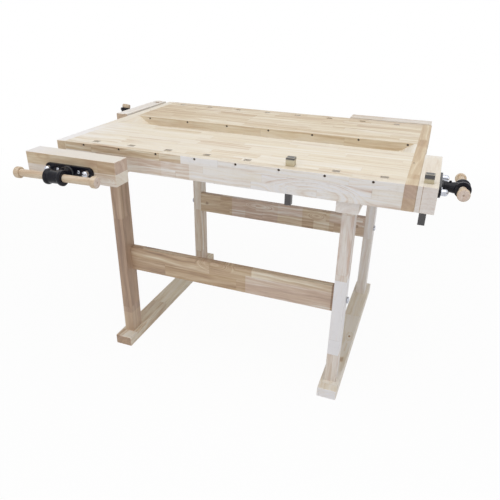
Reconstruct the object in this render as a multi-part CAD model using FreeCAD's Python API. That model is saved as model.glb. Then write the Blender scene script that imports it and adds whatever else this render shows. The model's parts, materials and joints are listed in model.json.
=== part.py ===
import FreeCAD, Part
import math
import os

# Double-sided woodworking bench with four screw vises, in millimetres.
# The bench is the same when it is turned half round: each front piece has a twin at the back.
# Bench axes: X along the top, Y from the front edge to the back, Z up from the floor.

# Worktop
TOP_LENGTH = 1268.0
TOP_DEPTH = 844.0
TOP_HEIGHT = 860.0
EDGE_HEIGHT = 82.0
END_CAP_THICKNESS = 36.0
APRON_THICKNESS = 32.0
DOG_STRIP_THICKNESS = 20.0
SLAB_THICKNESS = 22.0
TONGUE_LENGTH = 15.0
TONGUE_THICKNESS = 8.0
EASE = 1.0

# Dog holes
DOG_PITCH = 146.6
FIRST_DOG = 142.4
LAST_BLOCK_LEAST = 30.0
DOG_HOLE_WIDTH = 25.0
DOG_HOLE_DEPTH = 21.5

# Tray
TRAY_WIDTH = 132.0
TRAY_DEPTH = 45.0
TRAY_FLOOR_THICKNESS = 12.0
TRAY_WALL_THICKNESS = 22.0
TRAY_WALL_HEIGHT = 65.0
TRAY_GROOVE = 6.0
RAMP_RUN = 70.0
RAMP_LANDING = 10.0

# Screws and pins in the top
SCREW_HEAD_RADIUS = 4.25
SCREW_HEAD_HEIGHT = 4.0
SCREW_SHANK_RADIUS = 2.5
SCREW_LENGTH = 46.0
SCREW_SINK = 3.0
SCREW_DROP = 6.6
SCREW_FROM_HOLE = 26.4
TRAY_SCREW_PITCH = 183.3
TRAY_SCREW_FIRST = 99.0
TRAY_SCREW_MARGIN = 20.0
CAP_PIN_RADIUS = 4.0
CAP_PIN_FROM_CENTRE = 190.0
CAP_PIN_SINK = 1.0

# Trestles
TRESTLE_INSET = 195.0
FOOT_WIDTH = 71.0
FOOT_HEIGHT = 40.0
FOOT_OVERHANG = 4.0
FOOT_NOSE = 4.0
LEG_WIDTH = 41.0
LEG_DEPTH = 65.0
LEG_INSET = 46.0
BEARER_HEIGHT = 40.0
BEARER_SETBACK = 7.0
TENON_SHOULDER = 10.0
TENON_LENGTH = 30.0
BEAM_EASE = 3.0

# Rails and their fixings
RAIL_THICKNESS = 27.0
FRONT_RAIL_HEIGHT = 102.0
FRONT_RAIL_BOTTOM = 326.0
BACK_RAIL_HEIGHT = 96.0
BACK_RAIL_BOTTOM = 342.0
RAIL_BOLT_RADIUS = 5.0
RAIL_BOLT_HEAD_RADIUS = 9.0
RAIL_BOLT_HEAD_HEIGHT = 6.0
WASHER_RADIUS = 12.5
WASHER_THICKNESS = 2.0
BARREL_NUT_RADIUS = 8.0
BARREL_NUT_LENGTH = 20.0
BARREL_NUT_SETBACK = 35.0
BARREL_NUT_SINK = 2.0
TOP_BOLT_RADIUS = 5.0
TOP_BOLT_HEAD_RADIUS = 9.0
TOP_BOLT_HEAD_HEIGHT = 6.0
TOP_BOLT_SINK = 12.0
TOP_BOLT_BITE = 18.0
TOP_BOLT_CLEARANCE = 1.0

# Bench dogs
DOG_WIDTH = 21.0
DOG_DEPTH = 20.0
DOG_LENGTH = 160.0
DOG_HEAD_WIDTH = 28.0
DOG_HEAD_DEPTH = 24.0
DOG_HEAD_HEIGHT = 27.0
DOG_SIDE_GAP = 0.5
RAISED_DOG_FROM_END = 3
DOG_SPRING_THICKNESS = 1.0
DOG_SPRING_WIDTH = 9.0
DOG_SPRING_LENGTH = 70.0
DOG_SPRING_GROOVE = 2.2

# Vise jaws
JAW_LENGTH = 351.0
FRONT_JAW_THICKNESS = 70.0
TAIL_JAW_THICKNESS = 57.0
TAIL_JAW_STRIP = 15.0
FRONT_VISE_FROM_END = 179.0
FRONT_OPENING = 90.0
BACK_OPENING = 20.0
RIGHT_TAIL_OPENING = 0.3
LEFT_TAIL_OPENING = 20.0
MAX_OPENING = 140.0
JAW_EASE = 1.0

# Vise screw, rods and plate
SPINDLE_RADIUS = 11.0
NECK_RADIUS = 18.0
NECK_WAIST = 2.0
NUB_RADIUS = 4.0
NUB_HEIGHT = 3.0
ROD_SPREAD = 75.0
ROD_RISE = 4.0
ROD_RADIUS = 9.0
ROD_SPARE = 16.0
CAP_RADIUS = 10.5
CAP_HEIGHT = 22.0
CAP_DOME = 9.0
PLATE_HEIGHT = 34.0
PLATE_THICKNESS = 9.5
PLATE_END_MARGIN = 1.5
PLATE_EASE = 1.5
BOSS_RADIUS = 20.0
BOSS_HEIGHT = 6.0
PLATE_SCREW_SPREAD = 41.0
PLATE_SCREW_RADIUS = 3.0
PLATE_SCREW_HEAD = 5.5
PLATE_SCREW_HEAD_HEIGHT = 3.5
PLATE_SCREW_LENGTH = 28.0
COLLAR_RADIUS = 16.0
COLLAR_THICKNESS = 6.0

# Hub and handle
HANDLE_STANDOFF = 72.0
HUB_LENGTH = 65.0
HUB_RADIUS = 25.5
HUB_WAIST_RADIUS = 20.5
HUB_RIM = 9.0
HANDLE_RADIUS = 12.5
HANDLE_SPAN = 297.0
KNOB_RADIUS = 19.0
KNOB_LENGTH = 19.0
KNOB_ROUND = 4.0
FRONT_HANDLE_TILT = -1.0
RIGHT_TAIL_HANDLE_SHIFT = -43.0
RIGHT_TAIL_HANDLE_TILT = 7.7
LEFT_TAIL_HANDLE_TILT = 70.0

# Guide housing behind each fixed jaw face
HOUSING_HEIGHT = 38.0
HOUSING_CLEARANCE = 3.0
HOUSING_FLANGE = 8.0
NUT_BOSS_RADIUS = 18.0
NUT_BOSS_LENGTH = 46.0
GUIDE_BOSS_RADIUS = 14.0
GUIDE_BOSS_LENGTH = 56.0
HOUSING_RIB = 8.0
RIB_REACH_AT_RODS = 28.0
RIB_REACH_AT_NUT = 12.0
HOUSING_SCREW_SPREAD = 36.0
HOUSING_SCREW_RADIUS = 3.0
HOUSING_SCREW_HEAD = 5.5
HOUSING_SCREW_HEAD_HEIGHT = 3.5
HOUSING_SCREW_BITE = 17.0

# Clearances
SLIDE_CLEARANCE = 0.3
RUNNING_FIT = 0.06
SNUG_FIT = 0.05
WALL_HOLE_CLEARANCE = 1.0

# Worked out from the sizes above
HALF_LENGTH = TOP_LENGTH / 2
HALF_DEPTH = TOP_DEPTH / 2
EDGE_BOTTOM = TOP_HEIGHT - EDGE_HEIGHT
SLAB_END = HALF_LENGTH - END_CAP_THICKNESS
SLAB_BOTTOM = TOP_HEIGHT - SLAB_THICKNESS
APRON_INNER = HALF_DEPTH - APRON_THICKNESS
DOG_LINE = APRON_INNER - DOG_HOLE_DEPTH / 2
DOG_ROOM = TOP_LENGTH - END_CAP_THICKNESS - DOG_HOLE_WIDTH / 2 - LAST_BLOCK_LEAST
DOG_COUNT = 1 + int((DOG_ROOM - FIRST_DOG) // DOG_PITCH)
DOG_STRIP_OUTER = APRON_INNER - DOG_HOLE_DEPTH
DOG_STRIP_INNER = DOG_STRIP_OUTER - DOG_STRIP_THICKNESS
TRAY_HALF = TRAY_WIDTH / 2
TRAY_WALL_OUTER = TRAY_HALF + TRAY_WALL_THICKNESS
TRAY_FLOOR_TOP = TOP_HEIGHT - TRAY_DEPTH
SCREW_HEIGHT = TOP_HEIGHT - SCREW_DROP
TRAY_SCREW_ROOM = TOP_LENGTH - END_CAP_THICKNESS - TRAY_SCREW_MARGIN
TRAY_SCREW_COUNT = 1 + int((TRAY_SCREW_ROOM - TRAY_SCREW_FIRST) // TRAY_SCREW_PITCH)
TONGUE_BOTTOM = SLAB_BOTTOM + (SLAB_THICKNESS - TONGUE_THICKNESS) / 2
CAP_PIN_X = SLAB_END + TONGUE_LENGTH / 2
SPINDLE_DROP = SLAB_THICKNESS + HOUSING_CLEARANCE + HOUSING_HEIGHT / 2 + ROD_RISE
SPINDLE_HEIGHT = TOP_HEIGHT - SPINDLE_DROP
JAW_TOP = SPINDLE_DROP
JAW_BOTTOM = SPINDLE_DROP - EDGE_HEIGHT
FRONT_VISE_FROM_CENTRE = HALF_LENGTH - FRONT_VISE_FROM_END
TAIL_VISE_FROM_CENTRE = HALF_DEPTH - JAW_LENGTH / 2
ROD_LINES = (-ROD_SPREAD, ROD_SPREAD)
PLATE_SCREW_LINES = (-PLATE_SCREW_SPREAD, PLATE_SCREW_SPREAD)
HOUSING_SCREW_LINES = (-HOUSING_SCREW_SPREAD, HOUSING_SCREW_SPREAD)
PLATE_LENGTH = 2 * (ROD_SPREAD + PLATE_HEIGHT / 2 + PLATE_END_MARGIN)
HOUSING_LENGTH = 2 * (ROD_SPREAD + HOUSING_HEIGHT / 2)
BEARER_BOTTOM = EDGE_BOTTOM - BEARER_HEIGHT
BEARER_LENGTH = TOP_DEPTH - 2 * BEARER_SETBACK
FOOT_LENGTH = TOP_DEPTH + 2 * FOOT_OVERHANG
LEG_SPREAD = TOP_DEPTH - 2 * LEG_INSET
LEG_OUTER = LEG_SPREAD / 2
LEG_INNER = LEG_OUTER - LEG_DEPTH
TRESTLE_SPREAD = TOP_LENGTH - 2 * TRESTLE_INSET
TRESTLE_X = TRESTLE_SPREAD / 2
RAIL_END = TRESTLE_X - LEG_WIDTH / 2
RAIL_BOLT_LINE = LEG_INNER + RAIL_THICKNESS / 2
FRONT_WALL = HALF_DEPTH - DOG_STRIP_INNER
HANDLE_DROP = HANDLE_SPAN / 2 - KNOB_LENGTH / 2 - HUB_LENGTH / 2 - SLIDE_CLEARANCE
ORIGIN_X = (RIGHT_TAIL_OPENING - LEFT_TAIL_OPENING) / 2
ORIGIN_Y = (BACK_OPENING - FRONT_OPENING) / 2

AXES = {"x": FreeCAD.Vector(1, 0, 0), "y": FreeCAD.Vector(0, 1, 0), "z": FreeCAD.Vector(0, 0, 1)}
CENTRE = FreeCAD.Vector(0, 0, 0)


def box(x0, x1, y0, y1, z0, z1):
    return Part.makeBox(x1 - x0, y1 - y0, z1 - z0, FreeCAD.Vector(x0, y0, z0))


def rod(radius, start, length, axis):
    """A round bar from the point start along an axis; a negative length runs the other way."""
    way = AXES[axis] * math.copysign(1, length)
    return Part.makeCylinder(radius, abs(length), FreeCAD.Vector(*start), way)


def turned(profile, axis):
    """Revolves a closed profile of edges about an axis through the centre."""
    return Part.Face(Part.Wire(profile)).revolve(CENTRE, AXES[axis], 360)


def line(a, b):
    return Part.LineSegment(FreeCAD.Vector(*a), FreeCAD.Vector(*b)).toShape()


def arc(a, middle, b):
    return Part.Arc(FreeCAD.Vector(*a), FreeCAD.Vector(*middle), FreeCAD.Vector(*b)).toShape()


def polygon(points):
    return [line(a, b) for a, b in zip(points, points[1:] + points[:1])]


def dome(radius, start, height):
    """The half profile of a round dome that rises from (radius, start) to the Y axis."""
    sphere = (radius ** 2 + height ** 2) / (2 * height)
    half_angle = math.asin(radius / sphere) / 2
    middle = (sphere * math.sin(half_angle), start + height - sphere * (1 - math.cos(half_angle)), 0)
    return arc((radius, start, 0), middle, (0, start + height, 0))


def moved(shape, x=0.0, y=0.0, z=0.0):
    copy = shape.copy()
    copy.translate(FreeCAD.Vector(x, y, z))
    return copy


def twin(shape):
    """The same shape after half a turn of the bench about its upright middle line."""
    copy = shape.copy()
    copy.rotate(CENTRE, AXES["z"], 180)
    return copy


def both(shapes):
    return shapes + [twin(shape) for shape in shapes]


def cut(shape, tools):
    return shape.cut(Part.makeCompound(tools)) if tools else shape


def edges_in_plane(shape, axis, place):
    """The edges of a shape that lie wholly in the plane where an axis has one value."""
    index = "xyz".index(axis)
    return [
        edge for edge in shape.Edges
        if all(abs(vertex.Point[index] - place) < 1e-6 for vertex in edge.Vertexes)
    ]


def eased(shape, size, *planes):
    """Chamfers every edge that lies in one of the planes, or every edge if none is given."""
    edges = shape.Edges
    if planes:
        found = {}
        for axis, place in planes:
            for edge in edges_in_plane(shape, axis, place):
                found[edge.hashCode()] = edge
        edges = list(found.values())
    return shape.makeChamfer(size, edges)


def single(shape):
    """The one solid that an operation leaves."""
    return shape.removeSplitter().Solids[0]


def round_ended(length, height, thickness):
    """A flat bar with round ends along x, from y = 0 to y = thickness."""
    radius = height / 2
    flat = length / 2 - radius
    outline = [
        line((-flat, 0, radius), (flat, 0, radius)),
        arc((flat, 0, radius), (flat + radius, 0, 0), (flat, 0, -radius)),
        line((flat, 0, -radius), (-flat, 0, -radius)),
        arc((-flat, 0, -radius), (-flat - radius, 0, 0), (-flat, 0, radius)),
    ]
    return Part.Face(Part.Wire(outline)).extrude(FreeCAD.Vector(0, thickness, 0))


# Dog holes and the screws beside them

def dog_positions():
    return [FIRST_DOG - HALF_LENGTH + DOG_PITCH * k for k in range(DOG_COUNT)]


def wood_screw(x, y, z):
    """A screw along Y whose countersunk head lies a little under the surface at (x, y, z)."""
    head_at = FreeCAD.Vector(x, y + SCREW_SINK, z)
    head = Part.makeCone(SCREW_HEAD_RADIUS, SCREW_SHANK_RADIUS, SCREW_HEAD_HEIGHT, head_at, AXES["y"])
    shank_at = (x, y + SCREW_SINK + SCREW_HEAD_HEIGHT, z)
    return head.fuse(rod(SCREW_SHANK_RADIUS, shank_at, SCREW_LENGTH - SCREW_HEAD_HEIGHT, "y"))


def wood_screw_hole(x, y, z):
    """The drilled hole and counterbore for a wood screw."""
    reach = SCREW_SINK + SCREW_LENGTH + SLIDE_CLEARANCE
    counterbore = rod(SCREW_HEAD_RADIUS + SNUG_FIT, (x, y, z), SCREW_SINK + SCREW_HEAD_HEIGHT, "y")
    return counterbore.fuse(rod(SCREW_SHANK_RADIUS + SNUG_FIT, (x, y, z), reach, "y"))


def edge_screw_places():
    return [(x - SCREW_FROM_HOLE, -HALF_DEPTH, SCREW_HEIGHT) for x in dog_positions()]


def tray_screw_places():
    first = TRAY_SCREW_FIRST - HALF_LENGTH
    return [(first + TRAY_SCREW_PITCH * k, TRAY_HALF, SCREW_HEIGHT) for k in range(TRAY_SCREW_COUNT)]


def top_bolt_places():
    return [(x, y) for x in (-TRESTLE_X, TRESTLE_X) for y in (-DOG_LINE, DOG_LINE)]


# Vise parts, each in the vise's own axes: x along the jaw, y outwards from the fixed face, z up,
# with the spindle's axis at x = 0, z = 0 and the fixed face at y = 0. The rods, the plate and the
# housing's flange are centred a little higher, at z = ROD_RISE.

class Vise:
    def __init__(self, x, y, turn, thickness, wall, opening, handle_shift, handle_tilt, dog_at=None):
        self.x = x
        self.y = y
        self.turn = turn
        self.thickness = thickness
        self.wall = wall
        self.opening = opening
        self.handle_shift = handle_shift
        self.handle_tilt = handle_tilt
        self.dog_at = dog_at
        self.face = opening + thickness
        self.rod_end = opening - (wall + HOUSING_FLANGE + GUIDE_BOSS_LENGTH + MAX_OPENING + ROD_SPARE)

    def placed(self, shape):
        """Moves a shape from the vise's own axes to the bench's."""
        copy = shape.copy()
        copy.rotate(CENTRE, AXES["z"], self.turn)
        copy.translate(FreeCAD.Vector(self.x, self.y, SPINDLE_HEIGHT))
        return copy

    def wall_holes(self):
        """Clearance holes through the fixed face for the rods and the screw."""
        start = SLIDE_CLEARANCE
        length = -(self.wall + 2 * SLIDE_CLEARANCE)
        holes = [rod(ROD_RADIUS + WALL_HOLE_CLEARANCE, (x, start, ROD_RISE), length, "y") for x in ROD_LINES]
        holes.append(rod(SPINDLE_RADIUS + WALL_HOLE_CLEARANCE, (0, start, 0), length, "y"))
        return [self.placed(hole) for hole in holes]

    def housing_screw_holes(self):
        depth = HOUSING_SCREW_BITE + SLIDE_CLEARANCE
        holes = [
            rod(HOUSING_SCREW_RADIUS + SNUG_FIT, (x, -self.wall, ROD_RISE), depth, "y")
            for x in HOUSING_SCREW_LINES
        ]
        return [self.placed(hole) for hole in holes]

    def jaw(self):
        half = JAW_LENGTH / 2
        block = box(-half, half, self.opening, self.face, JAW_BOTTOM, JAW_TOP)
        block = eased(block, JAW_EASE)
        holes = [
            rod(ROD_RADIUS + SNUG_FIT, (x, self.opening, ROD_RISE), self.thickness, "y") for x in ROD_LINES
        ]
        holes.append(rod(SPINDLE_RADIUS + SLIDE_CLEARANCE, (0, self.opening, 0), self.thickness, "y"))
        pocket = COLLAR_THICKNESS + 2 * SLIDE_CLEARANCE
        holes.append(rod(COLLAR_RADIUS + SLIDE_CLEARANCE, (0, self.opening, 0), pocket, "y"))
        for x in PLATE_SCREW_LINES:
            start = (x, self.face, ROD_RISE)
            holes.append(rod(PLATE_SCREW_RADIUS + SNUG_FIT, start, -PLATE_SCREW_LENGTH, "y"))
        block = cut(block, holes)
        if self.dog_at is None:
            return block.Solids
        seam = self.opening + TAIL_JAW_STRIP
        notch = box(
            self.dog_at - DOG_HOLE_DEPTH / 2, self.dog_at + DOG_HOLE_DEPTH / 2,
            seam, seam + DOG_HOLE_WIDTH, JAW_BOTTOM, JAW_TOP,
        )
        inner = block.common(box(-half, half, self.opening, seam, JAW_BOTTOM, JAW_TOP))
        outer = block.common(box(-half, half, seam, self.face, JAW_BOTTOM, JAW_TOP)).cut(notch)
        return inner.Solids + outer.Solids

    def plate(self):
        """A plate with round ends and a round boss that the screw's neck turns against."""
        tip = PLATE_THICKNESS + BOSS_HEIGHT
        bar = round_ended(PLATE_LENGTH, PLATE_HEIGHT, PLATE_THICKNESS)
        bar = eased(bar, PLATE_EASE, ("y", PLATE_THICKNESS))
        boss = eased(rod(BOSS_RADIUS, (0, 0, 0), tip, "y"), PLATE_EASE, ("y", tip))
        plate = moved(bar, z=ROD_RISE).fuse(boss)
        holes = [rod(ROD_RADIUS + SNUG_FIT, (x, 0, ROD_RISE), PLATE_THICKNESS, "y") for x in ROD_LINES]
        holes.append(rod(SPINDLE_RADIUS + SLIDE_CLEARANCE, (0, 0, 0), tip, "y"))
        for x in PLATE_SCREW_LINES:
            holes.append(rod(PLATE_SCREW_RADIUS + SNUG_FIT, (x, 0, ROD_RISE), PLATE_THICKNESS, "y"))
        return [single(moved(cut(plate, holes), y=self.face))]

    def plate_screws(self):
        """Flat-headed screws that hold the plate to the jaw."""
        seat = self.face + PLATE_THICKNESS
        screws = []
        for x in PLATE_SCREW_LINES:
            head = rod(PLATE_SCREW_HEAD, (x, seat, ROD_RISE), PLATE_SCREW_HEAD_HEIGHT, "y")
            head = eased(head, EASE, ("y", seat + PLATE_SCREW_HEAD_HEIGHT))
            shank = rod(PLATE_SCREW_RADIUS, (x, seat, ROD_RISE), -PLATE_THICKNESS - PLATE_SCREW_LENGTH, "y")
            screws.append(head.fuse(shank).Solids[0])
        return screws

    def guide_rods(self):
        """Round rods fixed in the jaw, each with a domed cap outside the plate."""
        seat = self.face + PLATE_THICKNESS
        side = CAP_HEIGHT - CAP_DOME
        cap = turned([
            line((0, 0, 0), (CAP_RADIUS, 0, 0)),
            line((CAP_RADIUS, 0, 0), (CAP_RADIUS, side, 0)),
            dome(CAP_RADIUS, side, CAP_DOME),
            line((0, CAP_HEIGHT, 0), (0, 0, 0)),
        ], "y")
        solids = []
        for x in ROD_LINES:
            bar = rod(ROD_RADIUS, (x, self.rod_end, ROD_RISE), seat - self.rod_end, "y")
            bar = eased(bar, EASE, ("y", self.rod_end))
            solids += [bar, moved(cap, x=x, y=seat, z=ROD_RISE)]
        return solids

    def screw(self):
        """The vise screw with its neck and the spool-shaped hub that the handle slides through."""
        hub_y = self.face + HANDLE_STANDOFF
        shaft = rod(SPINDLE_RADIUS, (0, self.rod_end, 0), hub_y - self.rod_end, "y")
        shaft = eased(shaft, EASE, ("y", self.rod_end))
        neck_start = self.face + PLATE_THICKNESS + BOSS_HEIGHT + SLIDE_CLEARANCE
        neck_end = hub_y - HUB_WAIST_RADIUS
        middle = (neck_start + neck_end) / 2
        neck = turned(polygon([
            (0, neck_start, 0), (NECK_RADIUS, neck_start, 0), (NECK_RADIUS - NECK_WAIST, middle, 0),
            (NECK_RADIUS, neck_end, 0), (NECK_RADIUS, hub_y, 0), (0, hub_y, 0),
        ]), "y")
        nub = self.tilted(rod(NUB_RADIUS, (0, middle, 0), NECK_RADIUS + NUB_HEIGHT, "z"))
        half = HUB_LENGTH / 2
        rim = half - HUB_RIM
        waist_end = rim - (HUB_RADIUS - HUB_WAIST_RADIUS)
        hub = turned(polygon([
            (-half, 0, 0), (-half, HUB_RADIUS, 0), (-rim, HUB_RADIUS, 0), (-waist_end, HUB_WAIST_RADIUS, 0),
            (waist_end, HUB_WAIST_RADIUS, 0), (rim, HUB_RADIUS, 0), (half, HUB_RADIUS, 0), (half, 0, 0),
        ]), "x")
        hub = eased(hub, EASE, ("x", -half), ("x", half))
        hub = self.tilted(moved(hub, y=hub_y))
        body = shaft.fuse([neck, nub, hub])
        bore = rod(HANDLE_RADIUS + SLIDE_CLEARANCE, (-HUB_LENGTH, hub_y, 0), 2 * HUB_LENGTH, "x")
        body = single(body.cut(self.tilted(bore)))
        collar = rod(COLLAR_RADIUS, (0, self.opening + SLIDE_CLEARANCE, 0), COLLAR_THICKNESS, "y")
        collar = collar.cut(rod(SPINDLE_RADIUS, (0, self.opening, 0), 2 * COLLAR_THICKNESS, "y"))
        return [body, collar.Solids[0]]

    def tilted(self, shape):
        """Turns a shape about the screw's axis by the handle's angle at rest."""
        copy = shape.copy()
        copy.rotate(CENTRE, AXES["y"], -self.handle_tilt)
        return copy

    def handle(self):
        """A turned bar with a knob let on to each end."""
        half = HANDLE_SPAN / 2
        bar = rod(HANDLE_RADIUS, (-half, 0, 0), 2 * half, "x")
        reach = KNOB_LENGTH / 2
        inner = reach - KNOB_ROUND
        edge = KNOB_RADIUS - KNOB_ROUND
        bend = KNOB_ROUND * math.sqrt(0.5)
        knob = turned(polygon([
            (-reach, 0, 0), (-reach, edge, 0), (-inner - bend, edge + bend, 0), (-inner, KNOB_RADIUS, 0),
            (inner, KNOB_RADIUS, 0), (inner + bend, edge + bend, 0), (reach, edge, 0), (reach, 0, 0),
        ]), "x")
        solids = [bar]
        for side in (-1, 1):
            bored = moved(knob, x=side * half).cut(bar)
            solids.append(bored.Solids[0])
        hub_y = self.face + HANDLE_STANDOFF
        return [self.tilted(moved(solid, x=self.handle_shift, y=hub_y)) for solid in solids]

    def housing(self):
        """A cast flange with a nut boss and two guide bosses, joined by a rib."""
        back = -self.wall
        front = back - HOUSING_FLANGE
        flange = moved(round_ended(HOUSING_LENGTH, HOUSING_HEIGHT, -HOUSING_FLANGE), y=back, z=ROD_RISE)
        bosses = [rod(GUIDE_BOSS_RADIUS, (x, front, ROD_RISE), -GUIDE_BOSS_LENGTH, "y") for x in ROD_LINES]
        bosses.append(rod(NUT_BOSS_RADIUS, (0, front, 0), -NUT_BOSS_LENGTH, "y"))
        low = ROD_RISE - HOUSING_RIB / 2
        rib = Part.Face(Part.Wire(polygon([
            (-ROD_SPREAD, front, low), (ROD_SPREAD, front, low),
            (ROD_SPREAD, front - RIB_REACH_AT_RODS, low), (0, front - RIB_REACH_AT_NUT, low),
            (-ROD_SPREAD, front - RIB_REACH_AT_RODS, low),
        ]))).extrude(FreeCAD.Vector(0, 0, HOUSING_RIB))
        body = flange.fuse(bosses + [rib])
        depth = -(HOUSING_FLANGE + GUIDE_BOSS_LENGTH)
        holes = [rod(ROD_RADIUS + RUNNING_FIT, (x, back, ROD_RISE), depth, "y") for x in ROD_LINES]
        holes.append(rod(SPINDLE_RADIUS + RUNNING_FIT, (0, back, 0), depth, "y"))
        for x in HOUSING_SCREW_LINES:
            holes.append(rod(HOUSING_SCREW_RADIUS + SNUG_FIT, (x, back, ROD_RISE), -HOUSING_FLANGE, "y"))
            holes.append(rod(HOUSING_SCREW_HEAD + SLIDE_CLEARANCE, (x, front, ROD_RISE), depth, "y"))
        return [single(cut(body, holes))]

    def housing_screws(self):
        seat = -self.wall - HOUSING_FLANGE
        screws = []
        for x in HOUSING_SCREW_LINES:
            head = rod(HOUSING_SCREW_HEAD, (x, seat, ROD_RISE), -HOUSING_SCREW_HEAD_HEIGHT, "y")
            shank = rod(HOUSING_SCREW_RADIUS, (x, seat, ROD_RISE), HOUSING_FLANGE + HOUSING_SCREW_BITE, "y")
            screws.append(head.fuse(shank).Solids[0])
        return screws


def bench_dog():
    """A steel dog, about its hole's centre line: a square shank, a wider head, and a bowed leaf
    spring let into the shank's right side that bears on the wall of the hole."""
    seat = TOP_HEIGHT + SLIDE_CLEARANCE
    top = seat + DOG_HEAD_HEIGHT
    bottom = top - DOG_LENGTH
    left = DOG_SIDE_GAP - DOG_HOLE_WIDTH / 2
    right = left + DOG_WIDTH
    shank = box(left, right, -DOG_DEPTH / 2, DOG_DEPTH / 2, bottom, seat)
    shank = eased(shank, EASE, ("z", bottom))
    head = box(-DOG_HEAD_WIDTH / 2, DOG_HEAD_WIDTH / 2, -DOG_HEAD_DEPTH / 2, DOG_HEAD_DEPTH / 2, seat, top)
    head = eased(head, EASE, ("z", top))
    middle = TOP_HEIGHT - EDGE_HEIGHT / 2
    low = middle - DOG_SPRING_LENGTH / 2
    high = middle + DOG_SPRING_LENGTH / 2
    floor = right - DOG_SPRING_GROOVE
    side = DOG_SPRING_WIDTH / 2
    slot = side + SNUG_FIT
    groove = box(floor, right, -slot, slot, low - SLIDE_CLEARANCE, high + SLIDE_CLEARANCE)
    thick = DOG_SPRING_THICKNESS
    crown = DOG_HOLE_WIDTH / 2 - SLIDE_CLEARANCE
    leaf = Part.Face(Part.Wire([
        arc((floor, -side, low), (crown - thick, -side, middle), (floor, -side, high)),
        line((floor, -side, high), (floor + thick, -side, high)),
        arc((floor + thick, -side, high), (crown, -side, middle), (floor + thick, -side, low)),
        line((floor + thick, -side, low), (floor, -side, low)),
    ])).extrude(FreeCAD.Vector(0, DOG_SPRING_WIDTH, 0))
    return [single(shank.fuse(head).cut(groove)), leaf.Solids[0]]


VISES = {
    "front_left": Vise(
        -FRONT_VISE_FROM_CENTRE, -HALF_DEPTH, 180,
        FRONT_JAW_THICKNESS, FRONT_WALL, FRONT_OPENING, 0.0, FRONT_HANDLE_TILT),
    "back_right": Vise(
        FRONT_VISE_FROM_CENTRE, HALF_DEPTH, 0,
        FRONT_JAW_THICKNESS, FRONT_WALL, BACK_OPENING, 0.0, 0.0),
    "right_tail": Vise(
        HALF_LENGTH, -TAIL_VISE_FROM_CENTRE, -90,
        TAIL_JAW_THICKNESS, END_CAP_THICKNESS, RIGHT_TAIL_OPENING,
        RIGHT_TAIL_HANDLE_SHIFT, RIGHT_TAIL_HANDLE_TILT, DOG_LINE - TAIL_VISE_FROM_CENTRE),
    "left_tail": Vise(
        -HALF_LENGTH, TAIL_VISE_FROM_CENTRE, 90,
        TAIL_JAW_THICKNESS, END_CAP_THICKNESS, LEFT_TAIL_OPENING,
        -HANDLE_DROP, LEFT_TAIL_HANDLE_TILT, DOG_LINE - TAIL_VISE_FROM_CENTRE),
}


# Worktop pieces, made for the front half

def front_holes():
    """The holes of the front vise, through every board of the top's front edge."""
    front = VISES["front_left"]
    return front.wall_holes() + front.housing_screw_holes()


def front_apron():
    board = box(-SLAB_END, SLAB_END, -HALF_DEPTH, -APRON_INNER, EDGE_BOTTOM, TOP_HEIGHT)
    board = eased(board, EASE, ("y", -HALF_DEPTH))
    screws = [wood_screw_hole(*place) for place in edge_screw_places()]
    return [single(cut(board, front_holes() + screws))]


def front_dog_blocks():
    """The blocks that stand between the dog holes, behind the apron."""
    half = DOG_HOLE_WIDTH / 2
    starts = [-SLAB_END] + [x + half for x in dog_positions()]
    ends = [x - half for x in dog_positions()] + [SLAB_END]
    tools = front_holes() + [wood_screw_hole(*place) for place in edge_screw_places()]
    tools += [top_bolt_hole(x, y) for x, y in top_bolt_places() if y < 0]
    blocks = []
    for start, end in zip(starts, ends):
        block = box(start, end, -APRON_INNER, -DOG_STRIP_OUTER, EDGE_BOTTOM, TOP_HEIGHT)
        blocks.append(cut(block, tools).Solids[0])
    return blocks


def front_dog_strip():
    board = box(-SLAB_END, SLAB_END, -DOG_STRIP_OUTER, -DOG_STRIP_INNER, EDGE_BOTTOM, TOP_HEIGHT)
    return [single(cut(board, front_holes()))]


def front_slab():
    board = box(-SLAB_END, SLAB_END, -DOG_STRIP_INNER, -TRAY_WALL_OUTER, SLAB_BOTTOM, TOP_HEIGHT)
    tongue_end = SLAB_END + TONGUE_LENGTH
    tongue = box(
        -tongue_end, tongue_end, -DOG_STRIP_INNER, -TRAY_WALL_OUTER,
        TONGUE_BOTTOM, TONGUE_BOTTOM + TONGUE_THICKNESS,
    )
    tools = [twin(wood_screw_hole(*place)) for place in tray_screw_places()]
    tools += [cap_pin_hole()]
    return [single(cut(board.fuse(tongue), tools))]


def cap_pin():
    """A pin through the end cap and the slab's tongue."""
    start = TOP_HEIGHT - CAP_PIN_SINK
    length = start - SLAB_BOTTOM
    return rod(CAP_PIN_RADIUS, (CAP_PIN_X, -CAP_PIN_FROM_CENTRE, start), -length, "z")


def cap_pin_hole():
    length = SLAB_THICKNESS + SLIDE_CLEARANCE
    return rod(CAP_PIN_RADIUS + SNUG_FIT, (CAP_PIN_X, -CAP_PIN_FROM_CENTRE, TOP_HEIGHT), -length, "z")


def right_end_cap():
    board = box(SLAB_END, HALF_LENGTH, -HALF_DEPTH, HALF_DEPTH, EDGE_BOTTOM, TOP_HEIGHT)
    board = eased(board, EASE, ("x", HALF_LENGTH), ("y", -HALF_DEPTH), ("y", HALF_DEPTH))
    tongue_end = SLAB_END + TONGUE_LENGTH
    tools = VISES["right_tail"].wall_holes() + VISES["right_tail"].housing_screw_holes()
    for low, high in ((-DOG_STRIP_INNER, -TRAY_WALL_OUTER), (TRAY_WALL_OUTER, DOG_STRIP_INNER)):
        tools.append(box(SLAB_END, tongue_end, low, high, TONGUE_BOTTOM, TONGUE_BOTTOM + TONGUE_THICKNESS))
    tools.append(cap_pin_hole())
    return [single(cut(board, tools))]


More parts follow.
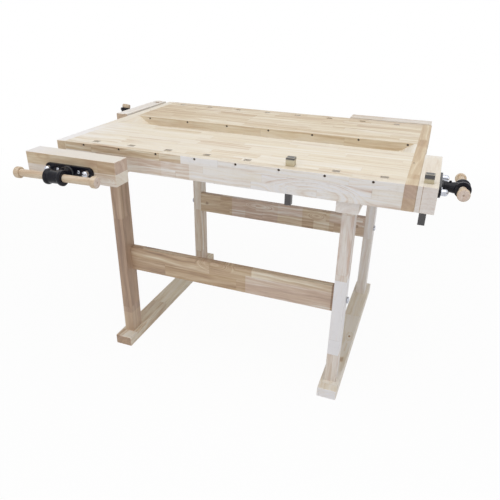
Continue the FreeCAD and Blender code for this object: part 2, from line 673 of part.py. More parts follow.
def back_tray_wall():
    bottom = TOP_HEIGHT - TRAY_WALL_HEIGHT
    board = box(-SLAB_END, SLAB_END, TRAY_HALF, TRAY_WALL_OUTER, bottom, TOP_HEIGHT)
    groove = box(
        -SLAB_END, SLAB_END, TRAY_HALF, TRAY_HALF + TRAY_GROOVE,
        TRAY_FLOOR_TOP - TRAY_FLOOR_THICKNESS, TRAY_FLOOR_TOP,
    )
    return [single(cut(board, [groove] + [wood_screw_hole(*place) for place in tray_screw_places()]))]


def tray_floor():
    side = TRAY_HALF + TRAY_GROOVE
    return [box(-SLAB_END, SLAB_END, -side, side, TRAY_FLOOR_TOP - TRAY_FLOOR_THICKNESS, TRAY_FLOOR_TOP)]


def right_tray_ramp():
    landing = SLAB_END - RAMP_LANDING
    profile = [
        (landing - RAMP_RUN, -TRAY_HALF, TRAY_FLOOR_TOP), (SLAB_END, -TRAY_HALF, TRAY_FLOOR_TOP),
        (SLAB_END, -TRAY_HALF, TOP_HEIGHT), (landing, -TRAY_HALF, TOP_HEIGHT),
    ]
    return [Part.Face(Part.Wire(polygon(profile))).extrude(FreeCAD.Vector(0, TRAY_WIDTH, 0))]


# Trestles and rails

def right_foot():
    half = FOOT_WIDTH / 2
    end = FOOT_LENGTH / 2
    beam = box(TRESTLE_X - half, TRESTLE_X + half, -end, end, 0, FOOT_HEIGHT)
    noses = [
        edge for edge in edges_in_plane(beam, "z", FOOT_HEIGHT)
        if abs(abs(edge.CenterOfMass.y) - end) < 1e-6
    ]
    beam = beam.makeFillet(FOOT_NOSE, noses)
    sides = [
        edge for place in (TRESTLE_X - half, TRESTLE_X + half)
        for edge in edges_in_plane(beam, "x", place)
        if edge.CenterOfMass.z > FOOT_HEIGHT - FOOT_NOSE
    ]
    beam = beam.makeChamfer(BEAM_EASE / 2, sides)
    return [cut(beam, [mortise(y, FOOT_HEIGHT - TENON_LENGTH, FOOT_HEIGHT) for y in leg_lines()])]


def leg_lines():
    middle = LEG_OUTER - LEG_DEPTH / 2
    return (-middle, middle)


def mortise(y, low, high):
    """The slot for a leg's tenon, which the tenon fills."""
    across = LEG_WIDTH / 2 - TENON_SHOULDER
    along = LEG_DEPTH / 2 - TENON_SHOULDER
    return box(TRESTLE_X - across, TRESTLE_X + across, y - along, y + along, low, high)


def right_leg(y, bolt_height):
    half = LEG_WIDTH / 2
    post = box(
        TRESTLE_X - half, TRESTLE_X + half, y - LEG_DEPTH / 2, y + LEG_DEPTH / 2,
        FOOT_HEIGHT, BEARER_BOTTOM,
    )
    upright = [edge for edge in post.Edges if edge.BoundBox.ZLength > BEARER_HEIGHT]
    post = post.makeChamfer(BEAM_EASE / 2, upright)
    tenons = [
        mortise(y, FOOT_HEIGHT - TENON_LENGTH, FOOT_HEIGHT),
        mortise(y, BEARER_BOTTOM, BEARER_BOTTOM + TENON_LENGTH),
    ]
    bolt_y = math.copysign(RAIL_BOLT_LINE, y)
    bore = rod(RAIL_BOLT_RADIUS + SNUG_FIT, (RAIL_END, bolt_y, bolt_height), LEG_WIDTH, "x")
    return [single(post.fuse(tenons).cut(bore))]


def right_bearer():
    half = FOOT_WIDTH / 2
    end = BEARER_LENGTH / 2
    beam = box(TRESTLE_X - half, TRESTLE_X + half, -end, end, BEARER_BOTTOM, EDGE_BOTTOM)
    beam = eased(beam, BEAM_EASE, ("z", BEARER_BOTTOM))
    tools = [mortise(y, BEARER_BOTTOM, BEARER_BOTTOM + TENON_LENGTH) for y in leg_lines()]
    tools += [top_bolt_hole(x, y) for x, y in top_bolt_places() if x > 0]
    return [single(cut(beam, tools))]


def top_bolt(x, y):
    """A bolt up through a bearer into the edge of the top."""
    seat = BEARER_BOTTOM + TOP_BOLT_SINK
    head = rod(TOP_BOLT_HEAD_RADIUS, (x, y, seat), -TOP_BOLT_HEAD_HEIGHT, "z")
    shank = rod(TOP_BOLT_RADIUS, (x, y, seat), EDGE_BOTTOM + TOP_BOLT_BITE - seat, "z")
    return head.fuse(shank)


def top_bolt_hole(x, y):
    counterbore = rod(TOP_BOLT_HEAD_RADIUS + TOP_BOLT_CLEARANCE, (x, y, BEARER_BOTTOM), TOP_BOLT_SINK, "z")
    length = EDGE_BOTTOM + TOP_BOLT_BITE + SLIDE_CLEARANCE - BEARER_BOTTOM
    return counterbore.fuse(rod(TOP_BOLT_RADIUS + SNUG_FIT, (x, y, BEARER_BOTTOM), length, "z"))


def rail(side, bottom, height):
    """A rail between the trestles, bored at each end for a bolt and a barrel nut."""
    low, high = sorted((side * LEG_INNER, side * (LEG_INNER + RAIL_THICKNESS)))
    board = box(-RAIL_END, RAIL_END, low, high, bottom, bottom + height)
    board = eased(board, EASE, ("z", bottom), ("z", bottom + height))
    middle = bottom + height / 2
    tools = []
    for end in (-1, 1):
        nut_x = end * (RAIL_END - BARREL_NUT_SETBACK)
        tools.append(rod(
            RAIL_BOLT_RADIUS + SNUG_FIT, (end * RAIL_END, side * RAIL_BOLT_LINE, middle),
            -end * (BARREL_NUT_SETBACK + BARREL_NUT_RADIUS), "x"))
        tools.append(rod(
            BARREL_NUT_RADIUS + SNUG_FIT, (nut_x, side * LEG_INNER, middle),
            side * (BARREL_NUT_SINK + BARREL_NUT_LENGTH), "y"))
    return [single(cut(board, tools))]


def rail_bolt(end, side, height):
    """A bolt through a leg into its barrel nut, and the washer under its head."""
    y = side * RAIL_BOLT_LINE
    face = end * (RAIL_END + LEG_WIDTH)
    seat = face + end * WASHER_THICKNESS
    tip = end * (RAIL_END - BARREL_NUT_SETBACK)
    shank = rod(RAIL_BOLT_RADIUS, (seat, y, height), tip - seat, "x")
    head = rod(RAIL_BOLT_HEAD_RADIUS, (seat, y, height), end * RAIL_BOLT_HEAD_HEIGHT, "x")
    head = eased(head, EASE, ("x", seat + end * RAIL_BOLT_HEAD_HEIGHT))
    washer = rod(WASHER_RADIUS, (face, y, height), end * WASHER_THICKNESS, "x").cut(shank)
    return [head.fuse(shank).Solids[0], washer.Solids[0]]


def barrel_nut(end, side, height):
    x = end * (RAIL_END - BARREL_NUT_SETBACK)
    start = side * (LEG_INNER + BARREL_NUT_SINK)
    nut = rod(BARREL_NUT_RADIUS, (x, start, height), side * BARREL_NUT_LENGTH, "y")
    bore = rod(RAIL_BOLT_RADIUS, (x, side * RAIL_BOLT_LINE, height), end * 2 * BARREL_NUT_RADIUS, "x")
    return nut.cut(bore).Solids[0]


def rail_heights():
    """The side and the bolt height of each rail."""
    return (
        (-1, FRONT_RAIL_BOTTOM + FRONT_RAIL_HEIGHT / 2),
        (1, BACK_RAIL_BOTTOM + BACK_RAIL_HEIGHT / 2),
    )


# The whole bench, node by node

def worktop():
    nodes = {
        "front_apron": front_apron(),
        "front_dog_blocks": front_dog_blocks(),
        "front_dog_strip": front_dog_strip(),
        "front_slab": front_slab(),
        "right_end_cap": right_end_cap(),
        "back_tray_wall": back_tray_wall(),
    }
    opposite = {"front": "back", "back": "front", "right": "left"}
    for name in list(nodes):
        place, rest = name.split("_", 1)
        nodes[opposite[place] + "_" + rest] = [twin(solid) for solid in nodes[name]]
    nodes["tray_floor"] = tray_floor()
    nodes["tray_ramps"] = both(right_tray_ramp())
    nodes["edge_screws"] = both([wood_screw(*place) for place in edge_screw_places()] + [cap_pin()])
    nodes["tray_screws"] = both([wood_screw(*place) for place in tray_screw_places()])
    return nodes


def base():
    front_height, back_height = [height for side, height in rail_heights()]
    front, back = leg_lines()
    nodes = {
        "right_foot": right_foot(),
        "left_foot": [twin(solid) for solid in right_foot()],
        "front_right_leg": right_leg(front, front_height),
        "back_right_leg": right_leg(back, back_height),
        "back_left_leg": [twin(solid) for solid in right_leg(front, back_height)],
        "front_left_leg": [twin(solid) for solid in right_leg(back, front_height)],
        "right_bearer": right_bearer(),
        "left_bearer": [twin(solid) for solid in right_bearer()],
        "front_rail": rail(-1, FRONT_RAIL_BOTTOM, FRONT_RAIL_HEIGHT),
        "back_rail": rail(1, BACK_RAIL_BOTTOM, BACK_RAIL_HEIGHT),
        "rail_bolts": [],
        "barrel_nuts": [],
        "top_bolts": [top_bolt(x, y) for x, y in top_bolt_places()],
    }
    for side, height in rail_heights():
        for end in (-1, 1):
            nodes["rail_bolts"] += rail_bolt(end, side, height)
            nodes["barrel_nuts"].append(barrel_nut(end, side, height))
    return nodes


def vises():
    nodes = {"housing_screws": []}
    for name, vise in VISES.items():
        pieces = {
            "jaw": vise.jaw(),
            "plate": vise.plate(),
            "plate_screws": vise.plate_screws(),
            "guide_rods": vise.guide_rods(),
            "screw": vise.screw(),
            "handle": vise.handle(),
            "housing": vise.housing(),
        }
        for piece, solids in pieces.items():
            nodes[name + "_" + piece] = [vise.placed(solid) for solid in solids]
        nodes["housing_screws"] += [vise.placed(solid) for solid in vise.housing_screws()]
    return nodes


def dogs():
    """One dog in the front row of the top and one in the right tail jaw."""
    in_slab = dog_positions()[-RAISED_DOG_FROM_END]
    in_jaw = HALF_LENGTH + RIGHT_TAIL_OPENING + TAIL_JAW_STRIP + DOG_HOLE_WIDTH / 2
    return {
        "slab_dog": [moved(solid, x=in_slab, y=-DOG_LINE) for solid in bench_dog()],
        "jaw_dog": [moved(solid, x=in_jaw, y=-DOG_LINE) for solid in bench_dog()],
    }


def main():
    os.makedirs("parts", exist_ok=True)
    nodes = {**worktop(), **base(), **vises(), **dogs()}
    for name, solids in nodes.items():
        shape = solids[0] if len(solids) == 1 else Part.makeCompound(solids)
        shape = moved(shape, x=-ORIGIN_X, y=-ORIGIN_Y)
        shape.exportStep(os.path.join("parts", name + ".step"))
    print(len(nodes), "nodes,", sum(len(solids) for solids in nodes.values()), "solids")


main()
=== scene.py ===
import json
import math
from collections import namedtuple

import bmesh
import bpy
from bpy.props import FloatProperty, FloatVectorProperty, IntProperty, PointerProperty
from mathutils import Matrix, Vector


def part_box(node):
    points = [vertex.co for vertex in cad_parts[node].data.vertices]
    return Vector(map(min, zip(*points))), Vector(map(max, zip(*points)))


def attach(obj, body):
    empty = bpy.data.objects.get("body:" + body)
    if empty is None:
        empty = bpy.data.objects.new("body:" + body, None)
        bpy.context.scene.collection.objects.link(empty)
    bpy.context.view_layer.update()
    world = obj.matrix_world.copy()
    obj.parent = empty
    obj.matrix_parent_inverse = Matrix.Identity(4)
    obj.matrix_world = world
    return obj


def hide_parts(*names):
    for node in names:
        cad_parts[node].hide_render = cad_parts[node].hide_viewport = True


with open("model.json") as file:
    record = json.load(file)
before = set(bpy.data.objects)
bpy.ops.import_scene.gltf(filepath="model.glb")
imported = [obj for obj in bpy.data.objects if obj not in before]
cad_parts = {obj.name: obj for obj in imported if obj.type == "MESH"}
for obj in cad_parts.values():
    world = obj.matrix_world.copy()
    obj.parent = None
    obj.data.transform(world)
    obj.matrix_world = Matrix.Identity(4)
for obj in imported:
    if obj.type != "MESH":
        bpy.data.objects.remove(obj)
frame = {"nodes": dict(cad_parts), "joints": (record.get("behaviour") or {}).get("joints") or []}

bl_info = {
    "name": "Woodworking Bench",
    "version": (1, 0, 0),
    "blender": (4, 5, 0),
    "location": "3D View > Sidebar > Bench",
    "description": "Finishes a double-sided woodworking bench and makes its vise screws, handles and fixings",
    "category": "Object",
}

VISES = ("front_left", "back_right", "right_tail", "left_tail")
BENCH = "bench"


def placed(name, data):
    """A new object of the scene that shows this mesh, light or camera."""
    made = bpy.data.objects.new(name, data)
    bpy.context.collection.objects.link(made)
    return made


# Node trees

def operation(name):
    """A method of Field that adds the maths node with this operation."""
    def method(self, *others):
        return self.maths(name, self, *others)
    return method


class Field:
    """A node socket that arithmetic builds on: numbers by Math, colours and vectors by Vector Math."""

    def __init__(self, graph, socket):
        self.graph = graph
        self.socket = socket

    def maths(self, name, *values):
        """Adds a Math node or, where one of the values is a vector, a Vector Math node."""
        kind, socket = "ShaderNodeMath", "Value"
        types = {value.socket.type for value in values if isinstance(value, Field)}
        if types & {"VECTOR", "RGBA"}:
            kind, socket = "ShaderNodeVectorMath", "Vector"
            values = [(value,) * 3 if isinstance(value, (int, float)) else value for value in values]
        return self.graph.node(kind, {"operation": name}, dict(zip((socket, socket + "_001"), values)))

    def __add__(self, other):
        return self.maths("ADD", self, other)

    def __sub__(self, other):
        return self.maths("SUBTRACT", self, other)

    def __rsub__(self, other):
        return self.maths("SUBTRACT", other, self)

    def __mul__(self, other):
        return self.maths("MULTIPLY", self, other)

    def __truediv__(self, other):
        return self.maths("DIVIDE", self, other)

    def __rtruediv__(self, other):
        return self.maths("DIVIDE", other, self)

    def __pow__(self, other):
        return self.maths("POWER", self, other)

    __radd__ = __add__
    __rmul__ = __mul__
    floor = operation("FLOOR")
    fraction = operation("FRACT")
    size = operation("ABSOLUTE")
    sine = operation("SINE")
    cosine = operation("COSINE")
    least = operation("MINIMUM")
    most = operation("MAXIMUM")
    above = operation("GREATER_THAN")

    def rise(self, low, high):
        """0 below low, 1 above high and a smooth step between; low may be above high."""
        sockets = {"Value": self, "From Min": low, "From Max": high}
        return self.graph.node("ShaderNodeMapRange", {"interpolation_type": "SMOOTHSTEP"}, sockets)


class Graph:
    """A node tree, of a material or of geometry."""

    def __init__(self, tree):
        self.tree = tree
        self.tree.nodes.clear()

    def node(self, kind, settings, sockets, output=0):
        """Makes a node: its settings first, then the values or links of its sockets, by identifier."""
        made = self.tree.nodes.new(kind)
        for name, value in settings.items():
            if name == "stops":
                self.set_stops(made.color_ramp, value)
            else:
                setattr(made, name, value)
        for name, value in sockets.items():
            socket = next(s for s in made.inputs if s.identifier == name)
            if isinstance(value, Field):
                self.tree.links.new(value.socket, socket)
            else:
                socket.default_value = value
        return Field(self, made.outputs[output]) if made.outputs else made

    def set_stops(self, ramp, stops):
        while len(ramp.elements) < len(stops):
            ramp.elements.new(1.0)
        for element, (position, colour) in zip(ramp.elements, stops):
            element.position = position
            element.color = (*colour, 1.0)

    def split(self, vector):
        first = self.node("ShaderNodeSeparateXYZ", {}, {"Vector": vector})
        return [Field(self, socket) for socket in first.socket.node.outputs]

    def join(self, x, y, z):
        return self.node("ShaderNodeCombineXYZ", {}, {"X": x, "Y": y, "Z": z})


class Finish(Graph):
    """The node tree of one material."""

    def __init__(self, name):
        self.material = bpy.data.materials.new(name)
        self.material.use_nodes = True
        super().__init__(self.material.node_tree)

    def place(self):
        return self.node("ShaderNodeTexCoord", {}, {}, "Object")

    def place_in(self, axes):
        """The surface's place in other axes than the object's own."""
        sockets = {"Vector": self.place(), "Location": axes.to_translation(), "Rotation": axes.to_euler()}
        return self.node("ShaderNodeMapping", {"vector_type": "TEXTURE"}, sockets)

    def facing(self):
        """The surface's direction in the piece's own axes."""
        return self.node("ShaderNodeTexCoord", {}, {}, "Normal")

    def noise(self, place, detail=2.0, roughness=0.5):
        sockets = {"Vector": place, "Scale": 1.0, "Detail": detail, "Roughness": roughness}
        return self.node("ShaderNodeTexNoise", {}, sockets)

    def grain(self, lines, length, width, detail=2.0, roughness=0.5, shift=0.0):
        """Noise drawn out along the grain, with its scales along and across it."""
        along, across, through = lines
        place = self.join(along * length + shift, across * width, through * width)
        return self.noise(place, detail, roughness)

    def waver(self, value, detail):
        """Noise along one number."""
        sockets = {"W": value, "Scale": 1.0, "Detail": detail}
        return self.node("ShaderNodeTexNoise", {"noise_dimensions": "1D"}, sockets)

    def chance(self, place):
        """Three random numbers for each whole place."""
        return self.split(self.node("ShaderNodeTexWhiteNoise", {}, {"Vector": place}, "Color"))

    def ramp(self, value, stops):
        return self.node("ShaderNodeValToRGB", {"stops": stops}, {"Fac": value})

    def mix(self, factor, first, second):
        first, second = [(*c, 1.0) if isinstance(c, tuple) and len(c) == 3 else c for c in (first, second)]
        sockets = {"Factor_Float": factor, "A_Color": first, "B_Color": second}
        return self.node("ShaderNodeMix", {"data_type": "RGBA"}, sockets, 2)

    def bump(self, height, distance):
        return self.node("ShaderNodeBump", {}, {"Height": height, "Distance": distance})

    def finish(self, colour, roughness, normal, metallic=0.0, specular=0.5):
        """Ends the tree in its shader."""
        shader = self.node("ShaderNodeBsdfPrincipled", {}, {
            "Base Color": colour, "Roughness": roughness, "Normal": normal, "Metallic": metallic,
            "Specular IOR Level": specular})
        self.node("ShaderNodeOutputMaterial", {}, {"Surface": shader})
        return self.material


class Form(Graph):
    """The Geometry Nodes tree of one shape, with named inputs for its sizes."""

    def __init__(self, name):
        super().__init__(bpy.data.node_groups.new(name, "GeometryNodeTree"))
        for way in ("INPUT", "OUTPUT"):
            self.tree.interface.new_socket("Geometry", in_out=way, socket_type="NodeSocketGeometry")
        self.given = self.tree.nodes.new("NodeGroupInput")
        self.taken = {}

    def asks(self, kind, *names):
        """New inputs of the tree, as fields."""
        for name in names:
            made = self.tree.interface.new_socket(name, in_out="INPUT", socket_type="NodeSocket" + kind)
            self.taken[name] = made.identifier
        return [Field(self, self.given.outputs[name]) for name in names]

    def start(self):
        return Field(self, self.given.outputs["Geometry"])

    def finish(self, geometry, material):
        """Ends the tree in plain geometry with its finish."""
        plain = self.node("GeometryNodeRealizeInstances", {}, {"Geometry": geometry})
        dressed = self.node("GeometryNodeSetMaterial", {}, {"Geometry": plain, "Material": material})
        end = self.tree.nodes.new("NodeGroupOutput")
        self.tree.links.new(dressed.socket, end.inputs["Geometry"])

    def grow(self, name, mesh, **inputs):
        """Runs the tree on a mesh and keeps the result as a plain mesh object."""
        made = placed(name, mesh)
        modifier = made.modifiers.new(name, "NODES")
        modifier.node_group = self.tree
        for word, value in inputs.items():
            modifier[self.taken[word.title()]] = value
        evaluated = made.evaluated_get(bpy.context.evaluated_depsgraph_get())
        made.data = bpy.data.meshes.new_from_object(evaluated)
        made.data.name = name
        made.modifiers.clear()
        return made


# Sizes and colours that a user would change

def shade(name, description, red, green, blue):
    return FloatVectorProperty(
        name=name, description=description, size=3, subtype="COLOR", default=(red, green, blue))


def number(name, description, value, **more):
    return FloatProperty(name=name, description=description, default=value, **more)


def metres(name, description, value):
    return number(name, description, value, unit="LENGTH", precision=5)


def watts(name, description, value):
    return number(name, description, value, unit="POWER")


class WoodColours(bpy.types.PropertyGroup):
    cream: shade("Cream", "Palest warm wood", 0.86, 0.80, 0.70)
    straw: shade("Straw", "Pale warm wood", 0.80, 0.71, 0.555)
    honey: shade("Honey", "Middling warm wood", 0.64, 0.505, 0.335)
    tan: shade("Tan", "Darker warm wood", 0.51, 0.35, 0.205)
    brown: shade("Brown", "Darkest warm wood", 0.33, 0.22, 0.14)
    frost: shade("Frost", "Palest bluish wood", 0.87, 0.855, 0.875)
    chalk: shade("Chalk", "Palest rose wood", 0.86, 0.82, 0.79)
    blush: shade("Blush", "Pale rose wood", 0.78, 0.71, 0.66)
    rose: shade("Rose", "Middling rose wood", 0.64, 0.49, 0.40)
    plum: shade("Plum", "Darker rose wood", 0.47, 0.335, 0.262)
    umber: shade("Umber", "Darkest rose wood", 0.29, 0.19, 0.15)
    pore: shade("Pore", "The wood's pores, seams and knots", 0.16, 0.09, 0.05)
    ring_width: metres("Ring Width", "Usual width of a growth ring", 0.0075)
    finger: metres("Finger", "Width of a finger of the joints between blocks", 0.004)
    satin: number("Satin", "Roughness of the oiled wood", 0.5, subtype="FACTOR", min=0, max=1)


class MetalColours(bpy.types.PropertyGroup):
    black: shade("Black", "Enamel of the castings", 0.006, 0.006, 0.011)
    bright: shade("Bright", "Polished steel", 0.56, 0.58, 0.64)
    blotch: shade("Blotch", "Blotches on polished steel", 0.34, 0.35, 0.39)
    dark: shade("Dark", "Blackened screws", 0.09, 0.07, 0.06)
    dull: shade("Dull", "Tarnished nuts", 0.36, 0.28, 0.21)
    grit: shade("Grit", "Grains of sand under the enamel", 0.022, 0.022, 0.032)
    rust: shade("Rust", "Rust that shows through the enamel", 0.10, 0.055, 0.03)
    worn: shade("Worn", "Casting where the enamel has rubbed off", 0.07, 0.07, 0.075)
    dog: shade("Dog", "Blackened steel of the bench dogs", 0.09, 0.087, 0.09)
    # Painted sheen: a painted reflection of the wood on the sides of the dogs' heads, also mixed into their
    # painted rim highlight
    painted_sheen: shade("Ground", "Ground steel of the bench dogs", 0.50, 0.45, 0.33)


class ViseSizes(bpy.types.PropertyGroup):
    pitch: metres("Pitch", "Rise of the screw's thread in one turn", 0.005)
    core: metres("Core", "Radius of the screw at the foot of its thread", 0.0091)
    crest: metres("Crest", "Radius of the screw over its thread", 0.011)
    thread_sides: IntProperty(name="Thread Sides", description="Steps in one turn of the thread", default=24)
    thread_rows: IntProperty(name="Thread Rows", description="Steps along one pitch of the thread", default=8)
    neck: metres("Neck", "Radius of the neck at its ends", 0.018)
    neck_waist: metres("Neck Waist", "Radius of the neck at its middle", 0.0158)
    nub: metres("Nub", "Radius of the nub on the neck", 0.004)
    nub_height: metres("Nub Height", "How far the nub stands out of the neck", 0.003)
    hub_length: metres("Hub Length", "Length of the hub along the handle", 0.065)
    hub_rim: metres("Hub Rim", "Radius of the hub's rims", 0.02547)
    hub_rim_width: metres("Hub Rim Width", "Width of each of the hub's rims", 0.009)
    hub_waist: metres("Hub Waist", "Radius of the hub between its rims", 0.0205)
    bore: metres("Bore", "Radius of the hole that the handle slides in", 0.0128)
    collar: metres("Collar", "Radius of the thrust collar", 0.016)
    collar_width: metres("Collar Width", "Thickness of the thrust collar", 0.006)
    gap: metres("Gap", "Clearance between moving faces", 0.0003)


class HandleSizes(bpy.types.PropertyGroup):
    bar: metres("Bar", "Radius of the handle's bar", 0.0125)
    length: metres("Length", "Length of the handle over its knobs", 0.316)
    knob: metres("Knob", "Radius of the knobs", 0.01895)
    knob_length: metres("Knob Length", "Length of each knob", 0.019)
    knob_round: metres("Knob Round", "Rounding of the knobs' edges", 0.0055)
    dimple: metres("Dimple", "Radius of the lathe centre's mark in the knobs", 0.0022)


class FixingSizes(bpy.types.PropertyGroup):
    socket: number("Socket", "Width of a screw's socket, as a share of its head", 0.46)
    socket_depth: metres("Socket Depth", "Depth of the sockets", 0.0018)
    tip: metres("Tip", "Length of a wood screw's point", 0.006)
    chamfer: metres("Chamfer", "Bevel of the edges of heads and washers", 0.0005)


class StageSizes(bpy.types.PropertyGroup):
    eye: FloatVectorProperty(
        name="Eye", description="Where the camera stands", size=3, subtype="XYZ", unit="LENGTH",
        default=(0.66745, -1.84217, 1.33104))
    turn: FloatVectorProperty(
        name="Turn", description="Rotation vector of the camera's view", size=3, subtype="XYZ",
        default=(2.004588752, 0.375720707, -0.209085042))
    lens: number("Lens", "Focal length in millimetres", 36.158)
    shift_x: number("Shift X", "Sideways shift of the lens", 0.00054)
    shift_y: number("Shift Y", "Upward shift of the lens", -0.0012)
    floor: metres("Floor", "Length of the floor's sides", 40.0)
    floor_colour: shade("Floor Colour", "Colour of the floor", 0.88, 0.88, 0.88)
    glow: number("Glow", "How plain white the floor by the bench looks, over its shadow", 0.95)
    room: number("Room", "Strength of the room's own light", 0.42)
    ceiling: watts("Ceiling", "Power of the soft box overhead", 50.0)
    window: watts("Window", "Power of the soft box in front", 19.0)
    side: watts("Side", "Power of the cool soft box at the right", 17.0)


def group(name, description, kind):
    return PointerProperty(name=name, description=description, type=kind)


class BenchSettings(bpy.types.PropertyGroup):
    wood: group("Wood", "Colours of the wood", WoodColours)
    metal: group("Metal", "Colours of the metal", MetalColours)
    vise: group("Vise", "Sizes of the vise screws", ViseSizes)
    handle: group("Handle", "Sizes of the handles", HandleSizes)
    fixing: group("Fixing", "Sizes of the screws and bolts", FixingSizes)
    stage: group("Stage", "Camera, floor and lights", StageSizes)


def settings():
    return bpy.context.scene.bench_settings


# Wood

Patch = namedtuple("Patch", "tone rose along across face soft", defaults=((), (), "", 0.0004))
Patch.__doc__ = """A part of a board that stands out: its tone from 0 (cream) to 1 (brown), its hue from 0
(warm) to 1 (rose), where it starts and ends along and across the grain, the face it is on (such as +z) and
the width of its edge, in metres from the board's low corner. Limits past the board's edges are open ends."""

Oval = namedtuple("Oval", "along across reach stretch")
Oval.__doc__ = "Where the rings close round a point of a board, how far out, and how much longer than wide."

BoardLook = namedtuple(
    "BoardLook", "axes strip block tone spread rose rose_spread figure seed end patches ovals",
    defaults=((0.5, 0.5), (), ()))
BoardLook.__doc__ = """How a board is made up: axes along, across and through the grain, the width of its
strips and the usual length of its blocks in metres, its tone and how much blocks differ in it, its hue and
how much blocks differ in it, how strong the figure is, a seed, the tone and hue of its ends, and the patches
and ovals in it."""

FINGER_LENGTH = 0.008    # of the finger joints between blocks
UNEVEN = 0.22            # how much the lengths of blocks vary, as a share of the usual length
HEART_SIDE = 0.16        # how widely the hearts of a board's blocks are scattered across it
HEART_BELOW = 0.012      # how far below the board a heart lies at least
HEART_DEEPER = 0.05      # and how much deeper it may lie
HEART_LEVEL = 0.2        # how far along the board it is at that depth
SLOPE_ACROSS = 0.12      # how much it may slope across and through the board, to the metre
SLOPE_THROUGH = 0.14
SWAY = 0.030             # how much the rings waver
SEAM = (0.012, 0.004)    # the soft line between strips, as shares of a strip's width
BUTT = (0.0035, 0.001)   # the soft line between blocks, as shares of a block's length
RING_TONE, STREAK_TONE, BAND_TONE, FIBRE_TONE = 0.95, 0.6, 0.8, 0.2    # how far each darkens the wood
PORE_TINT, SEAM_TINT, BUTT_TINT = 0.2, 0.12, 0.12    # how near each comes to the pores' colour
FACING = (0.6, 0.8)      # the turn of a surface from not facing one way at all to facing that way
END_FACING = (0.6, 0.9)


def by_axis(values):
    return dict(zip("xyz", values))


def in_patch(along, across, faces, patch):
    """1 inside a patch of a board, 0 elsewhere."""
    inside = 1.0
    for value, limits in ((along, patch.along), (across, patch.across)):
        if limits:
            low, high = limits
            inside = value.rise(low - patch.soft, low + patch.soft) * inside
            inside = value.rise(high + patch.soft, high - patch.soft) * inside
    if patch.face:
        sign, axis = patch.face
        inside = (faces[axis] * float(sign + "1")).rise(*FACING) * inside
    return inside


def block_at(graph, look, lines):
    """The running number of the block that a place is in, and three random numbers for that block."""
    along, across, through = lines
    strip = (across / look.strip).floor()
    dice = graph.chance(graph.join(strip, 0.37 * look.seed, 5.0))[0]
    teeth = ((through / settings().wood.finger).fraction() - 0.5).size() * (2.0 * FINGER_LENGTH)
    run = (along + teeth) / look.block + dice * 7.0
    run = run + (run * 2.4 + dice * 20.0).sine() * UNEVEN
    return run, graph.chance(graph.join(strip + 11.0 * look.seed, run.floor(), 2.0))


def rings_at(graph, look, lines, dice):
    """The growth rings about a block's own heart, closed round the ovals of the board."""
    along, across, through = lines
    heart = across + (dice[0] - 0.5) * HEART_SIDE + along * ((dice[1] - 0.5) * SLOPE_ACROSS)
    slope = (dice[2] - 0.5) * SLOPE_THROUGH
    depth = through + HEART_BELOW + dice[1] * HEART_DEEPER + (along - HEART_LEVEL) * slope
    sway = graph.grain(lines, 5.0, 10.0) - 0.5
    radius = (heart * heart + depth * depth) ** 0.5 + sway * SWAY
    for oval in look.ovals:
        near = ((along - oval.along) / oval.stretch, across - oval.across)
        near = (near[0] * near[0] + near[1] * near[1]) ** 0.5 + sway * (SWAY / 3.0)
        radius = radius + near.rise(oval.reach, 0.4 * oval.reach) * (near - radius)
    return graph.waver(radius / settings().wood.ring_width * 0.5 + dice[0] * 60.0, 2.0) - 0.5


def wood(graph, look, lines, faces):
    """Glued-up pale hardwood with growth rings through the solid, pores, and blocks that differ in tone.
    lines are the places along, across and through the grain; faces are the surface's direction."""
    colours = settings().wood
    along, across, _ = lines
    run, dice = block_at(graph, look, lines)
    rings = rings_at(graph, look, lines, dice)
    streak = graph.grain(lines, 13.0, 170.0, 3.0, 0.55, dice[2] * 40.0) - 0.5
    band = graph.grain(lines, 2.6, 34.0, shift=dice[0] * 30.0) - 0.5
    fibre = graph.grain(lines, 26.0, 750.0) - 0.5
    pores = graph.grain(lines, 60.0, 1500.0, 1.0).rise(0.66, 0.76)

    end_grain = faces[look.axes[0]].size().rise(*END_FACING)
    tone = look.tone + (dice[0] - 0.5) * (2.0 * look.spread)
    rose = look.rose + (dice[2] - 0.5) * (2.0 * look.rose_spread)
    tone = tone + end_grain * (look.end[0] - tone)
    rose = rose + end_grain * (look.end[1] - rose)
    for patch in look.patches:
        inside = in_patch(along, across, faces, patch)
        tone = tone + inside * (patch.tone - tone)
        rose = rose + inside * (patch.rose - rose)
    figure = rings * RING_TONE + streak * STREAK_TONE + band * BAND_TONE + fibre * FIBRE_TONE
    tone = tone + figure * (1.0 - end_grain * 0.5) * look.figure
    warm = graph.ramp(tone, [
        (0.0, colours.cream), (0.3, colours.straw), (0.55, colours.honey), (0.8, colours.tan),
        (1.0, colours.brown)])
    cool = graph.ramp(tone, [
        (0.0, colours.frost), (0.15, colours.chalk), (0.32, colours.blush), (0.55, colours.rose),
        (0.8, colours.plum), (1.0, colours.umber)])
    colour = graph.mix(rose + band * 0.7, warm, cool)
    seam = ((across / look.strip + 0.5).fraction() - 0.5).size().rise(*SEAM)
    butt = ((run + 0.5).fraction() - 0.5).size().rise(*BUTT)
    lines_and_pores = (pores * PORE_TINT + seam * SEAM_TINT + butt * BUTT_TINT).least(1.0)
    colour = graph.mix(lines_and_pores, colour, tuple(colours.pore))
    normal = graph.bump(streak * 0.3 + fibre * 0.5 - pores, 0.0004)
    return graph.finish(colour, colours.satin + fibre * 0.3, normal)


def dress(node, material):
    """Gives a piece of the frame its finish."""
    slots = frame["nodes"][node].data.materials
    slots.clear()
    slots.append(material)


def dress_boards(boards):
    for node, look in boards.items():
        graph = Finish("wood_" + node)
        places = by_axis(graph.split(graph.place()))
        faces = by_axis(graph.split(graph.facing()))
        low = by_axis(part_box(node)[0])
        lines = [places[axis] - low[axis] for axis in look.axes]
        dress(node, wood(graph, look, lines, faces))


def row(face, across, *blocks):
    """Blocks one after another along a board, each with its tone and hue and where it starts and ends."""
    return [Patch(tone, rose, (start, end), across, face) for tone, rose, start, end in blocks]


